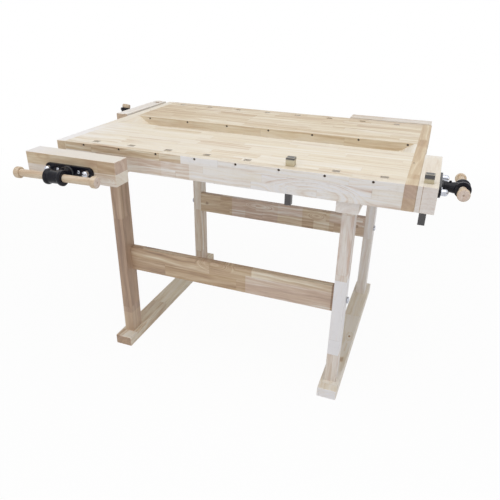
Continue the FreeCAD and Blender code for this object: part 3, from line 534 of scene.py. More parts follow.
APRON_TOP = Patch(0.24, 0.1, face="+z")
# Painted light: the -y faces of the front dog strip, the far walls of the dog holes, are made paler than the
# strip against the shade inside the holes
HOLE_WALL_LIGHT = Patch(-0.1, 0.0, face="-y")

WORKTOP = {
    "front_slab": BoardLook("xyz", 0.043, 0.26, 0.28, 0.12, 0.10, 0.15, 0.6, 3, patches=(
        Patch(0.12, 0.4, (-0.2, 0.09), soft=0.09),)),
    "back_slab": BoardLook("xyz", 0.043, 0.22, 0.44, 0.12, 0.0, 0.2, 0.8, 5, patches=(
        Patch(0.60, -0.1, (-0.3, 0.20), soft=0.16),)),
    "front_dog_strip": BoardLook("xyz", 0.05, 0.24, 0.28, 0.10, 0.1, 0.15, 0.55, 7, patches=(HOLE_WALL_LIGHT,)),
    "back_dog_strip": BoardLook("xyz", 0.05, 0.24, 0.42, 0.13, 0.1, 0.15, 0.6, 8),
    "front_dog_blocks": BoardLook("xyz", 0.05, 0.28, 0.26, 0.10, 0.1, 0.15, 0.55, 9, (0.0, 0.0)),
    "back_dog_blocks": BoardLook("xyz", 0.05, 0.28, 0.42, 0.13, 0.1, 0.15, 0.6, 10),
    "front_apron": BoardLook("xzy", 0.0274, 0.30, 0.15, 0.05, 0.8, 0.2, 1.1, 11, patches=(
        *row("-y", (0.0545, 0.1), (0.58, 0.1, -0.1, 0.392), (0.63, 0.3, 0.392, 0.468)),
        *row("-y", (-0.1, 0.0545), (0.34, 0.6, -0.1, 0.30), (0.36, 0.7, 0.30, 0.392),
             (0.30, 0.8, 0.392, 0.499)),
        APRON_TOP), ovals=(Oval(0.93, 0.012, 0.06, 3.0),)),
    "back_apron": BoardLook("xzy", 0.0274, 0.30, 0.3, 0.12, 0.5, 0.3, 0.7, 12, patches=(
        Patch(0.42, 0.1, face="+z"),)),
    "front_tray_wall": BoardLook("xzy", 0.03, 0.5, 0.42, 0.10, 0.2, 0.2, 0.7, 13, patches=(
        Patch(0.28, 0.1, face="+z"),)),
    "back_tray_wall": BoardLook("xzy", 0.03, 0.5, 0.42, 0.10, 0.05, 0.1, 0.7, 14, patches=(
        Patch(0.42, 0.1, face="+z"),)),
    "tray_floor": BoardLook("xyz", 0.05, 0.3, 0.33, 0.10, 0.1, 0.15, 0.7, 15),
    "tray_ramps": BoardLook("yxz", 0.08, 0.4, 0.25, 0.08, 0.2, 0.1, 0.7, 16),
    "right_end_cap": BoardLook("yzx", 0.09, 0.5, 0.66, 0.06, -0.3, 0.1, 0.55, 17, (0.66, 0.45), (
        Patch(0.76, 0.0, (0.46, 0.57), soft=0.02), Patch(0.48, -0.2, (-0.1, 0.06), face="+z", soft=0.01),
        Patch(0.74, 0.9, (), (0.040, 0.1), "-y", 0.004))),
    "left_end_cap": BoardLook("yzx", 0.09, 0.5, 0.24, 0.06, 0.1, 0.1, 0.6, 18, (0.6, 0.2), (
        # The patch on its top is a painted highlight that makes the front part of the top nearly white
        Patch(0.02, 0.8, (-0.3, 0.27), face="+z", soft=0.13),)),
}

BASE = {
    "left_foot": BoardLook("yxz", 0.08, 0.35, 0.42, 0.08, 0.15, 0.2, 0.9, 21, (0.86, 0.6)),
    "right_foot": BoardLook("yxz", 0.08, 0.35, 0.17, 0.06, 0.35, 0.2, 1.0, 22, (0.05, 1.0), (
        Patch(1.0, 0.0, (0.354, 0.368), (0.048, 0.057), "+z", 0.003),
        Patch(0.75, 0.3, (0.25, 0.31), (0.051, 0.055), "+z", 0.006),
        Patch(0.85, 0.4, (0.18, 0.21), (0.046, 0.056), "+z", 0.009)), (Oval(0.36, 0.052, 0.02, 2.0),)),
    "front_left_leg": BoardLook("zxy", 0.05, 0.3, 0.80, 0.05, 0.7, 0.15, 0.45, 23, patches=(
        Patch(0.66, 0.5, (-0.1, 0.122)),)),
    "back_left_leg": BoardLook("zxy", 0.05, 0.3, 0.42, 0.08, 0.6, 0.15, 0.8, 24),
    "front_right_leg": BoardLook("zxy", 0.05, 0.3, 0.38, 0.05, 0.95, 0.1, 0.9, 25, patches=(
        Patch(-0.05, 1.0, (0.154, 0.465)), Patch(0.42, 0.8, (-0.1, 0.154)),
        Patch(0.28, 0.8, (-0.1, 0.154), (0.023, 0.1), soft=0.002))),
    "back_right_leg": BoardLook("zxy", 0.05, 0.3, 0.33, 0.10, 1.0, 0.1, 0.8, 26),
    "left_bearer": BoardLook("yxz", 0.08, 0.35, 0.45, 0.1, 0.6, 0.2, 0.8, 27, (0.3, 1.0)),
    "right_bearer": BoardLook("yxz", 0.08, 0.35, 0.45, 0.1, 0.8, 0.1, 0.8, 28, (0.24, 1.0)),
    "front_rail": BoardLook("xzy", 0.051, 0.45, 0.72, 0.03, 0.3, 0.1, 0.8, 29, patches=(
        Patch(0.56, 0.8, (0.496, 0.90), (-0.1, 0.075)), Patch(0.46, 0.3, (0.52, 0.90), (0.075, 0.2)),
        # The patch from 0.824 to the end is a painted shadow at the rail's right end, where it meets the leg
        Patch(0.97, 0.4, (0.824, 0.9))), ovals=(Oval(0.37, 0.095, 0.035, 2.5),)),
    "back_rail": BoardLook("xzy", 0.048, 0.25, 0.64, 0.08, 0.5, 0.2, 1.0, 30, patches=(
        Patch(0.60, 0.3, (-0.1, 0.1735)),
        *row("", (0.048, 0.2), (0.50, 0.9, 0.1735, 0.4155), (0.44, 1.0, 0.4155, 0.5395),
             (0.52, 0.3, 0.5395, 0.6725), (0.50, 0.9, 0.6725, 0.9)),
        *row("", (-0.1, 0.048), (0.44, 1.0, 0.1735, 0.2455), (0.55, 1.0, 0.2455, 0.4155),
             (0.44, 0.3, 0.4155, 0.5395), (0.66, 0.4, 0.5395, 0.5965), (0.42, 0.3, 0.5965, 0.6725),
             (0.62, 0.4, 0.6725, 0.7605))), ovals=(
        Oval(0.313, 0.074, 0.020, 4.4), Oval(0.61, 0.07, 0.02, 2.5))),
}

JAWS = {
    "front_left_jaw": BoardLook("xzy", 0.041, 0.4, 0.25, 0.06, 0.6, 0.2, 0.8, 33, (0.42, 1.0), (
        Patch(0.56, 0.1, (), (0.041, 0.1), "-y"), Patch(0.74, 0.3, (0.24, 0.4), (0.041, 0.1), "-y", 0.03),
        Patch(-0.12, 0.1, face="+z"), Patch(-0.3, 0.8, (-0.2, 0.06), face="+z", soft=0.08),
        Patch(0.60, 0.9, (), (0.041, 0.1), "+x"), Patch(0.24, 0.4, (), (-0.1, 0.041), "+x")),
        (Oval(0.07, 0.072, 0.018, 2.5), Oval(0.30, 0.02, 0.02, 3.0))),
    "back_right_jaw": BoardLook("xzy", 0.041, 0.4, 0.3, 0.1, 0.5, 0.2, 0.7, 34, (0.4, 0.6)),
    "right_tail_jaw": BoardLook("yxz", 0.09, 0.5, 0.26, 0.05, 0.2, 0.2, 0.7, 35, (0.28, 1.0), (
        Patch(0.9, 0.4, (), (0.0143, 0.0157), "-y"),)),
    "left_tail_jaw": BoardLook("yxz", 0.09, 0.5, 0.16, 0.06, 0.5, 0.2, 0.7, 36, (0.6, 0.5), (
        Patch(0.9, 0.4, (), (0.0413, 0.0427), "-y"),)),
}

HANDLE = BoardLook("zxy", 0.2, 2.0, 0.56, 0.05, 0.25, 0.1, 0.4, 41, (0.47, 1.0))


class BENCH_OT_worktop(bpy.types.Operator):
    """Finish the boards of the top, the tray and the end caps"""
    bl_idname = "bench.worktop"
    bl_label = "Finish Worktop"

    def execute(self, context):
        dress_boards(WORKTOP)
        return {"FINISHED"}


class BENCH_OT_base(bpy.types.Operator):
    """Finish the feet, legs, bearers and rails"""
    bl_idname = "bench.base"
    bl_label = "Finish Base"

    def execute(self, context):
        dress_boards(BASE)
        return {"FINISHED"}


class BENCH_OT_jaws(bpy.types.Operator):
    """Finish the four vise jaws"""
    bl_idname = "bench.jaws"
    bl_label = "Finish Jaws"

    def execute(self, context):
        dress_boards(JAWS)
        return {"FINISHED"}


# Turned shapes

Ring = namedtuple("Ring", "along radius bend corners", defaults=(0.0, 0))
Ring.__doc__ = """A ring of a turned shape: its place and radius, the length over which its corner is rounded
and, where it isn't round, how many corners it has."""

SAME = 1e-5                   # measures of the frame that differ by less are the same
SHARP = math.radians(35)      # faces that meet at a greater angle keep a sharp edge


def drum(start, end, radius, bends=(0.0, 0.0), hole=0.0):
    """The outline of a cylinder, its two edges rounded by their bends, with a hole through it or none."""
    return [Ring(start, hole), Ring(start, radius, bends[0]), Ring(end, radius, bends[1]), Ring(end, hole)]


def mirrored(side):
    """The outline with its own mirror image after it."""
    return side + [Ring(-ring.along, ring.radius, ring.bend) for ring in reversed(side)]


def rounded(outline, steps=4):
    """The outline with its corners rounded by their bends."""
    result = [outline[0]]
    for before, here, after in zip(outline, outline[1:], outline[2:]):
        if not here.bend:
            result.append(here)
            continue
        corner = Vector(here[:2])
        start = corner + (Vector(before[:2]) - corner).normalized() * here.bend
        end = corner + (Vector(after[:2]) - corner).normalized() * here.bend
        for step in range(steps + 1):
            part = step / steps
            point = start * (1 - part) ** 2 + corner * (2 * part * (1 - part)) + end * part ** 2
            result.append(Ring(*point))
    result.append(outline[-1])
    return result


def ring_points(ring, sides):
    """A ring's points about Z; a ring without radius is a single point, which closes the shape."""
    if ring.radius < SAME / 100:
        return [Vector((0.0, 0.0, ring.along))]
    points = []
    for step in range(sides):
        angle = math.tau * step / sides
        reach = ring.radius
        if ring.corners:
            half = math.pi / ring.corners
            reach *= math.cos(half) / math.cos(angle % (2 * half) - half)
        points.append(Vector((reach * math.cos(angle), reach * math.sin(angle), ring.along)))
    return points


def turn(form, axes, outline, sides=48, closed=False, fitted=None):
    """Adds a solid turned about the axes' Z; closed joins its last ring to its first, fitted moves points."""
    rings = []
    for ring in rounded(outline):
        points = ring_points(ring, sides)
        if fitted:
            points = [fitted(point) for point in points]
        rings.append([form.verts.new(axes @ point) for point in points])
    for first, second in zip(rings, rings[1:] + rings[:1] if closed else rings[1:]):
        for step in range(sides):
            after = (step + 1) % sides
            corners = [first[step % len(first)], first[after % len(first)],
                       second[after % len(second)], second[step % len(second)]]
            corners = list(dict.fromkeys(corners))
            if len(corners) > 2:
                form.faces.new(corners)


def finished_mesh(name, form):
    """Makes a smooth mesh of a bmesh, with its sharp edges kept and its faces outwards."""
    bmesh.ops.recalc_face_normals(form, faces=form.faces)
    mesh = bpy.data.meshes.new(name)
    form.to_mesh(mesh)
    form.free()
    mesh.shade_smooth()
    mesh.set_sharp_from_angle(angle=SHARP)
    return mesh


def stands_for(made, node, body):
    """Puts a piece in place of a node of the frame."""
    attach(made, body)
    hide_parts(node)


def turned_piece(name, form, material, node, body):
    mesh = finished_mesh(name, form)
    mesh.materials.append(material)
    stands_for(placed(name, mesh), node, body)


def axes_at(origin, up, side=None):
    """Axes with Z along up and, where it is given, X towards side."""
    if side is None:
        aim = up.to_track_quat("Z", "Y").to_matrix()
    else:
        side = (side - up * side.dot(up)).normalized()
        aim = Matrix((side, up.cross(side), up)).transposed()
    return Matrix.Translation(origin) @ aim.to_4x4()


# Turned solids of the frame

Turned = namedtuple("Turned", "top way length wide narrow shoulder flared hole")
Turned.__doc__ = """A turned solid of a node: the middle of its wide end, the way it points, its length, its
widest and its far end's radius, how far down it narrows, whether it does so in a cone, and its hole's
radius."""


def measured(points):
    """The turned solid that has these points, about the side of its box that is unlike the other two."""
    low, high = [Vector(map(limit, zip(*points))) for limit in (min, max)]
    size = high - low
    least, middling, most = sorted(range(3), key=lambda axis: size[axis])
    axis = least if size[middling] - size[least] > size[most] - size[middling] else most
    top = (low + high) / 2
    rings = []
    for point in points:
        across = point - top
        across[axis] = 0.0
        rings.append((point[axis], across.length))
    below, above = [
        max(radius for along, radius in rings if abs(along - end[axis]) < SAME) for end in (low, high)]
    if above > below - SAME:
        near, far, narrow = high[axis], low[axis], below
    else:
        near, far, narrow = low[axis], high[axis], above
    top[axis] = near
    way = Vector((0.0, 0.0, 0.0))
    way[axis] = math.copysign(1.0, near - far)
    wide = max(radius for _, radius in rings)
    shoulder = min(abs(near - along) for along, radius in rings if abs(radius - narrow) < 2 * SAME)
    flared = all(abs(near - along) < SAME for along, radius in rings if radius > wide - 2 * SAME)
    hole = min(radius for _, radius in rings)
    return Turned(top, way, abs(near - far), wide, narrow, shoulder, flared, hole)


def turned_solids(node):
    """The turned solids of a node, from one end of it to the other."""
    form = bmesh.new()
    form.from_mesh(frame["nodes"][node].data)
    bmesh.ops.remove_doubles(form, verts=form.verts, dist=SAME / 10)
    loose = set(form.verts)
    found = []
    for vert in form.verts:
        if vert not in loose:
            continue
        loose.remove(vert)
        island = [vert]
        for member in island:
            joined = [edge.other_vert(member) for edge in member.link_edges]
            fresh = [other for other in joined if other in loose]
            loose.difference_update(fresh)
            island.extend(fresh)
        found.append(measured([member.co.copy() for member in island]))
    form.free()
    return sorted(found, key=lambda solid: tuple(round(value, 4) for value in solid.top))


# Metal

BOSS_FOOT = 0.0102       # how far the boss of a vise's plate starts from the jaw
BOSS_RADIUS = 0.021
DOG_HEAD = 0.027         # height of a bench dog's head
HIGHLIGHT_RIM_WIDTH = 0.0025       # width of the painted highlight on the rim of its top
SHEEN_START_DEPTHS = {"slab_dog": 0.007, "jaw_dog": 0.014}    # how far down the sides of its head the painted reflection of the wood starts


def black_enamel(name, axes=None, start=0.0, reach=0.0):
    """Glossy black enamel over a sand casting, rubbed off within reach of the axes' Z, from start on."""
    graph = Finish(name)
    metal = settings().metal
    place = graph.place()
    sand = graph.noise(place * 420.0, 3.0, 0.6)
    lumps = graph.noise(place * 60.0)
    rust = graph.noise(place * 170.0, roughness=0.6)
    colour = graph.mix(sand.rise(0.6, 0.8), tuple(metal.black), tuple(metal.grit))
    colour = graph.mix(rust.rise(0.62, 0.72) * 0.4, colour, tuple(metal.rust))
    roughness = 0.16 + lumps * 0.16
    if axes:
        x, y, z = graph.split(graph.place_in(axes))
        bare = z.above(start) * (x * x + y * y).rise((reach * 1.02) ** 2, reach ** 2)
        bare = bare * sand.rise(0.25, 0.6)
        colour = graph.mix(bare, colour, tuple(metal.worn))
        roughness = roughness + bare * 0.15
    return graph.finish(colour, roughness, graph.bump(sand * 0.4 + lumps, 0.0006), specular=0.2)


def bright_steel(name):
    """Turned and polished steel."""
    graph = Finish(name)
    metal = settings().metal
    scratches = graph.noise(graph.place() * 900.0)
    blotches = graph.noise(graph.place() * 70.0)
    colour = graph.mix(blotches.rise(0.4, 0.8) * 0.5, tuple(metal.bright), tuple(metal.blotch))
    return graph.finish(colour, 0.14 + scratches * 0.16, graph.bump(scratches, 0.00005), metallic=1.0)


def dark_steel(name, colour):
    """Blackened or tarnished steel with faint wear."""
    graph = Finish(name)
    wear = graph.noise(graph.place() * 260.0, 3.0, 0.6)
    tint = graph.mix(wear.rise(0.5, 0.75) * 0.5, tuple(colour), tuple(1.5 * c for c in colour))
    return graph.finish(tint, 0.4 + wear * 0.2, graph.bump(wear, 0.0001), metallic=0.9)


def dog_steel(name, node, sheen_start):
    """Ground steel, blackened this far down the sides of the head, and on its top but for the rim."""
    graph = Finish(name)
    metal = settings().metal
    low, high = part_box(node)
    places = graph.split(graph.place())
    upward = graph.split(graph.facing())[2]
    wear = graph.noise(graph.place() * 300.0, 3.0, 0.6)
    depth = high.z - places[2] + (wear - 0.5) * 0.004
    edges = []
    for axis in (0, 1):
        half = (high[axis] - low[axis]) / 2
        out = (places[axis] - (low[axis] + half)).size()
        edges.append(out.rise(half - 1.4 * HIGHLIGHT_RIM_WIDTH, half - HIGHLIGHT_RIM_WIDTH))
    # Painted highlight along the rim of the top
    rim = edges[0].most(edges[1])
    # Painted reflection of the wood on the sides of the head, from the given depth down to the head's foot
    painted_sheen = depth.rise(sheen_start - 0.003, sheen_start + 0.003)
    painted_sheen = painted_sheen * depth.rise(DOG_HEAD + 0.0005, DOG_HEAD - 0.0005)
    # Painted light: the reflection on the sides and, on the top, the rim highlight at a little over half
    # strength
    sheen_and_highlight = painted_sheen + upward.rise(*FACING) * (rim * 0.55 - painted_sheen)
    colour = graph.mix(sheen_and_highlight + (wear - 0.5) * 0.3, tuple(metal.dog), tuple(metal.painted_sheen))
    return graph.finish(colour, 0.22 + wear * 0.2, graph.bump(wear, 0.0001), metallic=0.9)


class BENCH_OT_castings(bpy.types.Operator):
    """Finish the plates and guide housings of the vises"""
    bl_idname = "bench.castings"
    bl_label = "Finish Castings"

    def execute(self, context):
        housing = black_enamel("housing_enamel")
        for vise in VISES:
            seat = vise_seat(vise)
            axes = axes_at(seat.face, seat.out)
            dress(vise + "_plate", black_enamel(vise + "_plate_enamel", axes, BOSS_FOOT, BOSS_RADIUS))
            dress(vise + "_housing", housing)
        return {"FINISHED"}


class BENCH_OT_dogs(bpy.types.Operator):
    """Finish the two bench dogs"""
    bl_idname = "bench.dogs"
    bl_label = "Finish Dogs"

    def execute(self, context):
        for node, depth in SHEEN_START_DEPTHS.items():
            dress(node, dog_steel(node + "_steel", node, depth))
        return {"FINISHED"}


# Vise screws, rods and handles

FLANKS = (0.36, 0.12)    # the foot and the top of the thread's flanks, in pitches from its crest's middle
RUN_OUT = 3.0            # how many pitches from its start the thread reaches its full height
SUNK = 0.001             # how far the parts of a screw reach into one another
NECK_END = 0.004         # length of the neck's straight end at the plate
ROD_LENGTH = 0.1         # a turned solid of the guide rods that is longer is a rod, a shorter one is a cap
CAP_DOME = 0.009         # height of a cap's dome
CAP_GROOVE = 0.0006      # depth of the groove at a cap's foot
MARK_DEPTH = 0.0015      # depth of the lathe centre's mark in the ends of a handle
MARK_SHADE_TONE = 0.6          # how much darker it is painted, as painted shade in the mark

Seat = namedtuple("Seat", "face out bar hub handle")
Seat.__doc__ = """Where a vise's screw and handle lie: the point where its axis leaves the jaw, the way out,
the way of the handle's bar, the middle of the hub and the middle of the handle."""


def joint(name):
    return next(item for item in frame["joints"] if item["name"] == name)


def vise_seat(vise):
    screw = joint(vise + "_turn")
    face = Vector(screw["pos_m"])
    out = Vector(screw["axis"])
    low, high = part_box(vise + "_handle")
    handle = (low + high) / 2
    hub = face + out * (handle - face).dot(out)
    return Seat(face, out, Vector(joint(vise + "_bar_slide")["axis"]), hub, handle)


def reach(node, seat):
    """How far a node's box starts and ends from the jaw's outer face, along the screw."""
    ends = [(corner - seat.face).dot(seat.out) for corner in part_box(node)]
    return min(ends), max(ends)


def thread_form():
    """A screw thread as a closed rod: a grid rolled round, its radius rising and falling once each pitch."""
    form = Form("thread")
    foot, way = form.asks("Vector", "Foot", "Way")
    length, pitch, core, crest = form.asks("Float", "Length", "Pitch", "Core", "Crest")
    sides, rows = form.asks("Int", "Sides", "Rows")
    [steel] = form.asks("Material", "Steel")
    sockets = {"Size X": 1.0, "Size Y": length, "Vertices X": sides, "Vertices Y": rows}
    grid = form.node("GeometryNodeMeshGrid", {}, sockets, "Mesh")
    x, y, _ = form.split(form.node("GeometryNodeInputPosition", {}, {}))
    lap = x + 0.5
    along = y + length / 2.0
    height = ((along / pitch - lap).fraction() - 0.5).size().rise(*FLANKS)
    height = height * along.rise(pitch, pitch * RUN_OUT)
    radius = (core + (crest - core) * height) * along.above(SAME) * (length - along).above(SAME)
    angle = lap * math.tau
    rolled = form.join(radius * angle.cosine(), radius * angle.sine(), along)
    rod = form.node("GeometryNodeSetPosition", {}, {"Geometry": grid, "Position": rolled})
    rod = form.node("GeometryNodeMergeByDistance", {}, {"Geometry": rod, "Distance": SAME / 10})
    aimed = form.node("FunctionNodeAlignRotationToVector", {"axis": "Z"}, {"Vector": way})
    rod = form.node("GeometryNodeTransform", {}, {"Geometry": rod, "Translation": foot, "Rotation": aimed})
    smooth = form.node("GeometryNodeSetShadeSmooth", {}, {"Geometry": rod})
    form.finish(smooth, steel)
    return form


def screw_casting(seat, tip, inner):
    """The neck, its nub and the spool-shaped hub, with the plain part of the screw and the thrust collar.
    tip and inner are the places of the plate's outer and the jaw's inner face."""
    sizes = settings().vise
    form = bmesh.new()
    axes = axes_at(seat.face, seat.out, seat.bar)
    hub_at = (seat.hub - seat.face).dot(seat.out)
    wall = sizes.hub_waist - SUNK
    start = tip + sizes.gap
    end = hub_at - sizes.hub_waist
    middle = (start + end) / 2

    def saddle(point):
        """Ends the neck in the round wall of the hub."""
        if point.z < end + 0.0005:
            return point
        depth = math.sqrt(wall ** 2 - min(abs(point.y), wall) ** 2)
        return Vector((point.x, point.y, hub_at - depth))

    turn(form, axes, [
        Ring(start, 0.0), Ring(start, sizes.neck, 0.0015), Ring(start + NECK_END, sizes.neck, 0.002),
        Ring(middle, sizes.neck_waist, 0.006), Ring(end - 0.003, sizes.neck, 0.002), Ring(end, sizes.neck),
        Ring(end + 0.004, sizes.neck), Ring(end + 0.005, 0.0)], fitted=saddle)
    half = sizes.hub_length / 2
    rim = half - sizes.hub_rim_width
    slope = sizes.hub_rim - sizes.hub_waist
    turn(form, axes_at(seat.hub, seat.bar), mirrored([
        Ring(-half, sizes.bore), Ring(-half, sizes.hub_rim, 0.0022), Ring(-rim, sizes.hub_rim, 0.0018),
        Ring(slope - rim, sizes.hub_waist, 0.003)]), 64, closed=True)
    nub_axes = axes_at(seat.face + seat.out * middle, seat.bar.cross(seat.out))
    turn(form, nub_axes, drum(0.0, sizes.neck + sizes.nub_height, sizes.nub, (0.0, 0.001)), 24)
    back = inner + sizes.gap
    turn(form, axes, drum(back, start + 2 * SUNK, sizes.crest, (0.0005, 0.0)), 32)
    collar = drum(back, back + sizes.collar_width, sizes.collar, (0.0008, 0.0008), sizes.crest - 0.0004)
    turn(form, axes, collar, closed=True)
    return form


class BENCH_OT_screws(bpy.types.Operator):
    """Make the vise screws, each a threaded spindle with a cast neck and hub"""
    bl_idname = "bench.screws"
    bl_label = "Make Vise Screws"

    def execute(self, context):
        sizes = settings().vise
        steel = bright_steel("screw_steel")
        thread = thread_form()
        for vise in VISES:
            seat = vise_seat(vise)
            node = vise + "_screw"
            inner = reach(vise + "_jaw", seat)[0]
            tip = reach(vise + "_plate", seat)[1]
            foot = reach(node, seat)[0]
            length = inner + sizes.gap + SUNK - foot
            rows = round(length / sizes.pitch * sizes.thread_rows) + 1
            made = thread.grow(
                node + "_thread", bpy.data.meshes.new(node), foot=seat.face + seat.out * foot, way=seat.out,
                length=length, pitch=sizes.pitch, core=sizes.core, crest=sizes.crest,
                sides=sizes.thread_sides + 1, rows=rows, steel=steel)
            stands_for(made, node, vise + "_spindle")
            enamel = black_enamel(node + "_enamel")
            form = screw_casting(seat, tip, inner)
            turned_piece(node + "_hub", form, enamel, node, vise + "_spindle")
        return {"FINISHED"}


def rod_outline(solid):
    chamfer = 0.001
    return [
        Ring(0.0, 0.0), Ring(0.0, solid.wide), Ring(chamfer - solid.length, solid.wide),
        Ring(-solid.length, solid.wide - chamfer), Ring(-solid.length, 0.0)]


def cap_outline(solid, steps=10):
    """A cap over a rod's end: a straight side with a groove at its foot, and a dome."""
    side = solid.length - CAP_DOME
    outline = [
        Ring(0.0, 0.0), Ring(0.0, solid.wide - CAP_GROOVE), Ring(0.0008, solid.wide), Ring(side, solid.wide)]
    for step in range(1, steps):
        angle = math.pi / 2 * step / steps
        outline.append(Ring(side + CAP_DOME * math.sin(angle), solid.wide * math.cos(angle)))
    return outline + [Ring(side + CAP_DOME, 0.0)]


class BENCH_OT_rods(bpy.types.Operator):
    """Make the guide rods with their domed caps"""
    bl_idname = "bench.rods"
    bl_label = "Make Guide Rods"

    def execute(self, context):
        steel = bright_steel("rod_steel")
        for vise in VISES:
            node = vise + "_guide_rods"
            form = bmesh.new()
            for solid in turned_solids(node):
                if solid.length > ROD_LENGTH:
                    turn(form, axes_at(solid.top, solid.way), rod_outline(solid))
                else:
                    turn(form, axes_at(solid.top, -solid.way), cap_outline(solid))
            turned_piece(node, form, steel, node, vise + "_vise")
        return {"FINISHED"}


def handle_outline(sizes):
    """A handle's bar and its two knobs with rounded edges and a lathe centre's mark in each end."""
    end = sizes.length / 2
    inner = end - sizes.knob_length
    return mirrored([
        Ring(MARK_DEPTH - end, 0.0), Ring(0.8 * MARK_DEPTH - end, sizes.dimple * 0.6),
        Ring(0.2 * MARK_DEPTH - end, sizes.dimple, 0.0004), Ring(-end, sizes.dimple * 3.0),
        Ring(-end, sizes.knob, sizes.knob_round), Ring(-inner, sizes.knob, 0.004),
        Ring(-inner, sizes.bar - 0.0006), Ring(-inner + 0.0008, sizes.bar)])


class BENCH_OT_handles(bpy.types.Operator):
    """Make the turned handles with their knobs"""
    bl_idname = "bench.handles"
    bl_label = "Make Handles"

    def execute(self, context):
        sizes = settings().handle
        for vise in VISES:
            seat = vise_seat(vise)
            axes = axes_at(seat.handle, seat.bar)
            graph = Finish(vise + "_handle_wood")
            x, y, z = graph.split(graph.place_in(axes))
            half = sizes.length / 2
            end = z.size().rise(half - MARK_DEPTH, half - 0.0005)
            lines = (z + half, x, y)
            # Painted shade in the lathe centre's mark on each end
            mark = (x * x + y * y).rise((sizes.dimple + 0.001) ** 2, sizes.dimple ** 2)
            look = HANDLE._replace(end=(HANDLE.end[0] + mark * MARK_SHADE_TONE, HANDLE.end[1]))
            material = wood(graph, look, lines, {"z": end})
            form = bmesh.new()
            turn(form, axes, handle_outline(sizes))
            node = vise + "_handle"
            turned_piece(node + "_turned", form, material, node, vise + "_bar")
        return {"FINISHED"}


# Fixings

SPIN_SEED = 7    # of the fixings' random turns about their own axes


def scatter_form():
    """One shape on every point, aimed along the point's way and spun at random about it."""
    form = Form("fixings")
    [unit] = form.asks("Object", "Unit")
    [seed] = form.asks("Int", "Seed")
    [steel] = form.asks("Material", "Steel")
    shape = form.node("GeometryNodeObjectInfo", {}, {"Object": unit}, "Geometry")
    kind = {"data_type": "FLOAT_VECTOR"}
    way = form.node("GeometryNodeInputNamedAttribute", kind, {"Name": "way"}, "Attribute")
    aimed = form.node("FunctionNodeAlignRotationToVector", {"axis": "Z"}, {"Vector": way})
    limits = {"Min_001": 0.0, "Max_001": math.tau, "Seed": seed}
    angle = form.node("FunctionNodeRandomValue", {"data_type": "FLOAT"}, limits, 1)
    spin = form.node("FunctionNodeAxisAngleToRotation", {}, {"Axis": (0.0, 0.0, 1.0), "Angle": angle})
    both = {"Rotation": aimed, "Rotate By": spin}
    turned = form.node("FunctionNodeRotateRotation", {"rotation_space": "LOCAL"}, both)
    sockets = {"Points": form.start(), "Instance": shape, "Rotation": turned}
    form.finish(form.node("GeometryNodeInstanceOnPoints", {}, sockets), steel)
    return form


def fixing_outline(solid, sizes):
    """A washer, a pin, or a screw or bolt with a socket in its flared or domed head, from the node's own
    solid."""
    washer = solid.length < solid.wide
    if washer or solid.narrow > solid.wide - 10 * SAME:
        bends = (sizes.chamfer, sizes.chamfer)
        return drum(0.0, -solid.length, solid.wide, bends, solid.hole if washer else 0.0)
    socket = solid.wide * sizes.socket
    outline = [
        Ring(-sizes.socket_depth, 0.0), Ring(-sizes.socket_depth, socket, corners=6),
        Ring(0.0, socket + 0.0002, corners=6)]
    if solid.flared:
        outline += [Ring(0.0, solid.wide), Ring(-0.0003, solid.wide)]
    else:
        outline += [
            Ring(0.0, 0.72 * solid.wide), Ring(-0.12 * solid.shoulder, 0.9 * solid.wide),
            Ring(-0.35 * solid.shoulder, solid.wide), Ring(-solid.shoulder, solid.wide)]
    tip = min(sizes.tip, solid.narrow * 2)
    outline += [
        Ring(-solid.shoulder, solid.narrow), Ring(tip - solid.length, solid.narrow),
        Ring(-solid.length, 0.3 * solid.narrow), Ring(-solid.length, 0.0)]
    return outline


class BENCH_OT_fixings(bpy.types.Operator):
    """Make the screws, bolts, washers and pins of the top, the base and the vises"""
    bl_idname = "bench.fixings"
    bl_label = "Make Fixings"

    def execute(self, context):
        metal = settings().metal
        dark = dark_steel("blackened_steel", metal.dark)
        dull = dark_steel("tarnished_steel", metal.dull)
        bright = bright_steel("bolt_steel")
        scatter = scatter_form()
        for node in ("edge_screws", "tray_screws", "housing_screws", "top_bolts"):
            self.make(scatter, node, BENCH, dark, "dark_fixings")
        self.make(scatter, "barrel_nuts", BENCH, dull, "dark_fixings")
        self.make(scatter, "rail_bolts", BENCH, bright, "bright_steel")
        for vise in VISES:
            self.make(scatter, vise + "_plate_screws", vise + "_vise", bright, "bright_steel")
        return {"FINISHED"}

    def make(self, scatter, node, body, material, slot):
        """Makes a node's fixings, one piece for each size among them."""
        kinds = {}
        for solid in turned_solids(node):
            kinds.setdefault((round(solid.length, 4), round(solid.wide, 4)), []).append(solid)
        for number, alike in enumerate(kinds.values(), 1):
            name = f"{node}_{number}"
            form = bmesh.new()
            outline = fixing_outline(alike[0], settings().fixing)
            turn(form, Matrix.Identity(4), outline, 24, closed=outline[0].radius > 0)
            unit = placed("unit", finished_mesh("unit", form))
            points = bpy.data.meshes.new(name)
            points.from_pydata([solid.top for solid in alike], [], [])
            ways = points.attributes.new("way", "FLOAT_VECTOR", "POINT")
            for item, solid in zip(ways.data, alike):
                item.vector = solid.way
            made = scatter.grow(name, points, unit=unit, seed=SPIN_SEED, steel=material)
            bpy.data.objects.remove(unit)
            stands_for(made, node, body)


# Stage

SOFT_BOXES = {    # the place, target, side and colour of each
    "ceiling": ((0.2, -0.6, 3.4), (0.0, 0.0, 0.8), 3.2, (1.0, 1.0, 1.0)),
    "window": ((-0.6, -3.6, 1.6), (0.0, 0.0, 0.5), 2.6, (1.0, 1.0, 1.0)),
    "side": ((3.6, -0.4, 1.8), (0.0, 0.0, 0.6), 2.4, (0.93, 0.96, 1.0)),
}
FADING = (1.6, 3.6)    # where the bench's shadow starts to fade and where it is gone, from the middle out


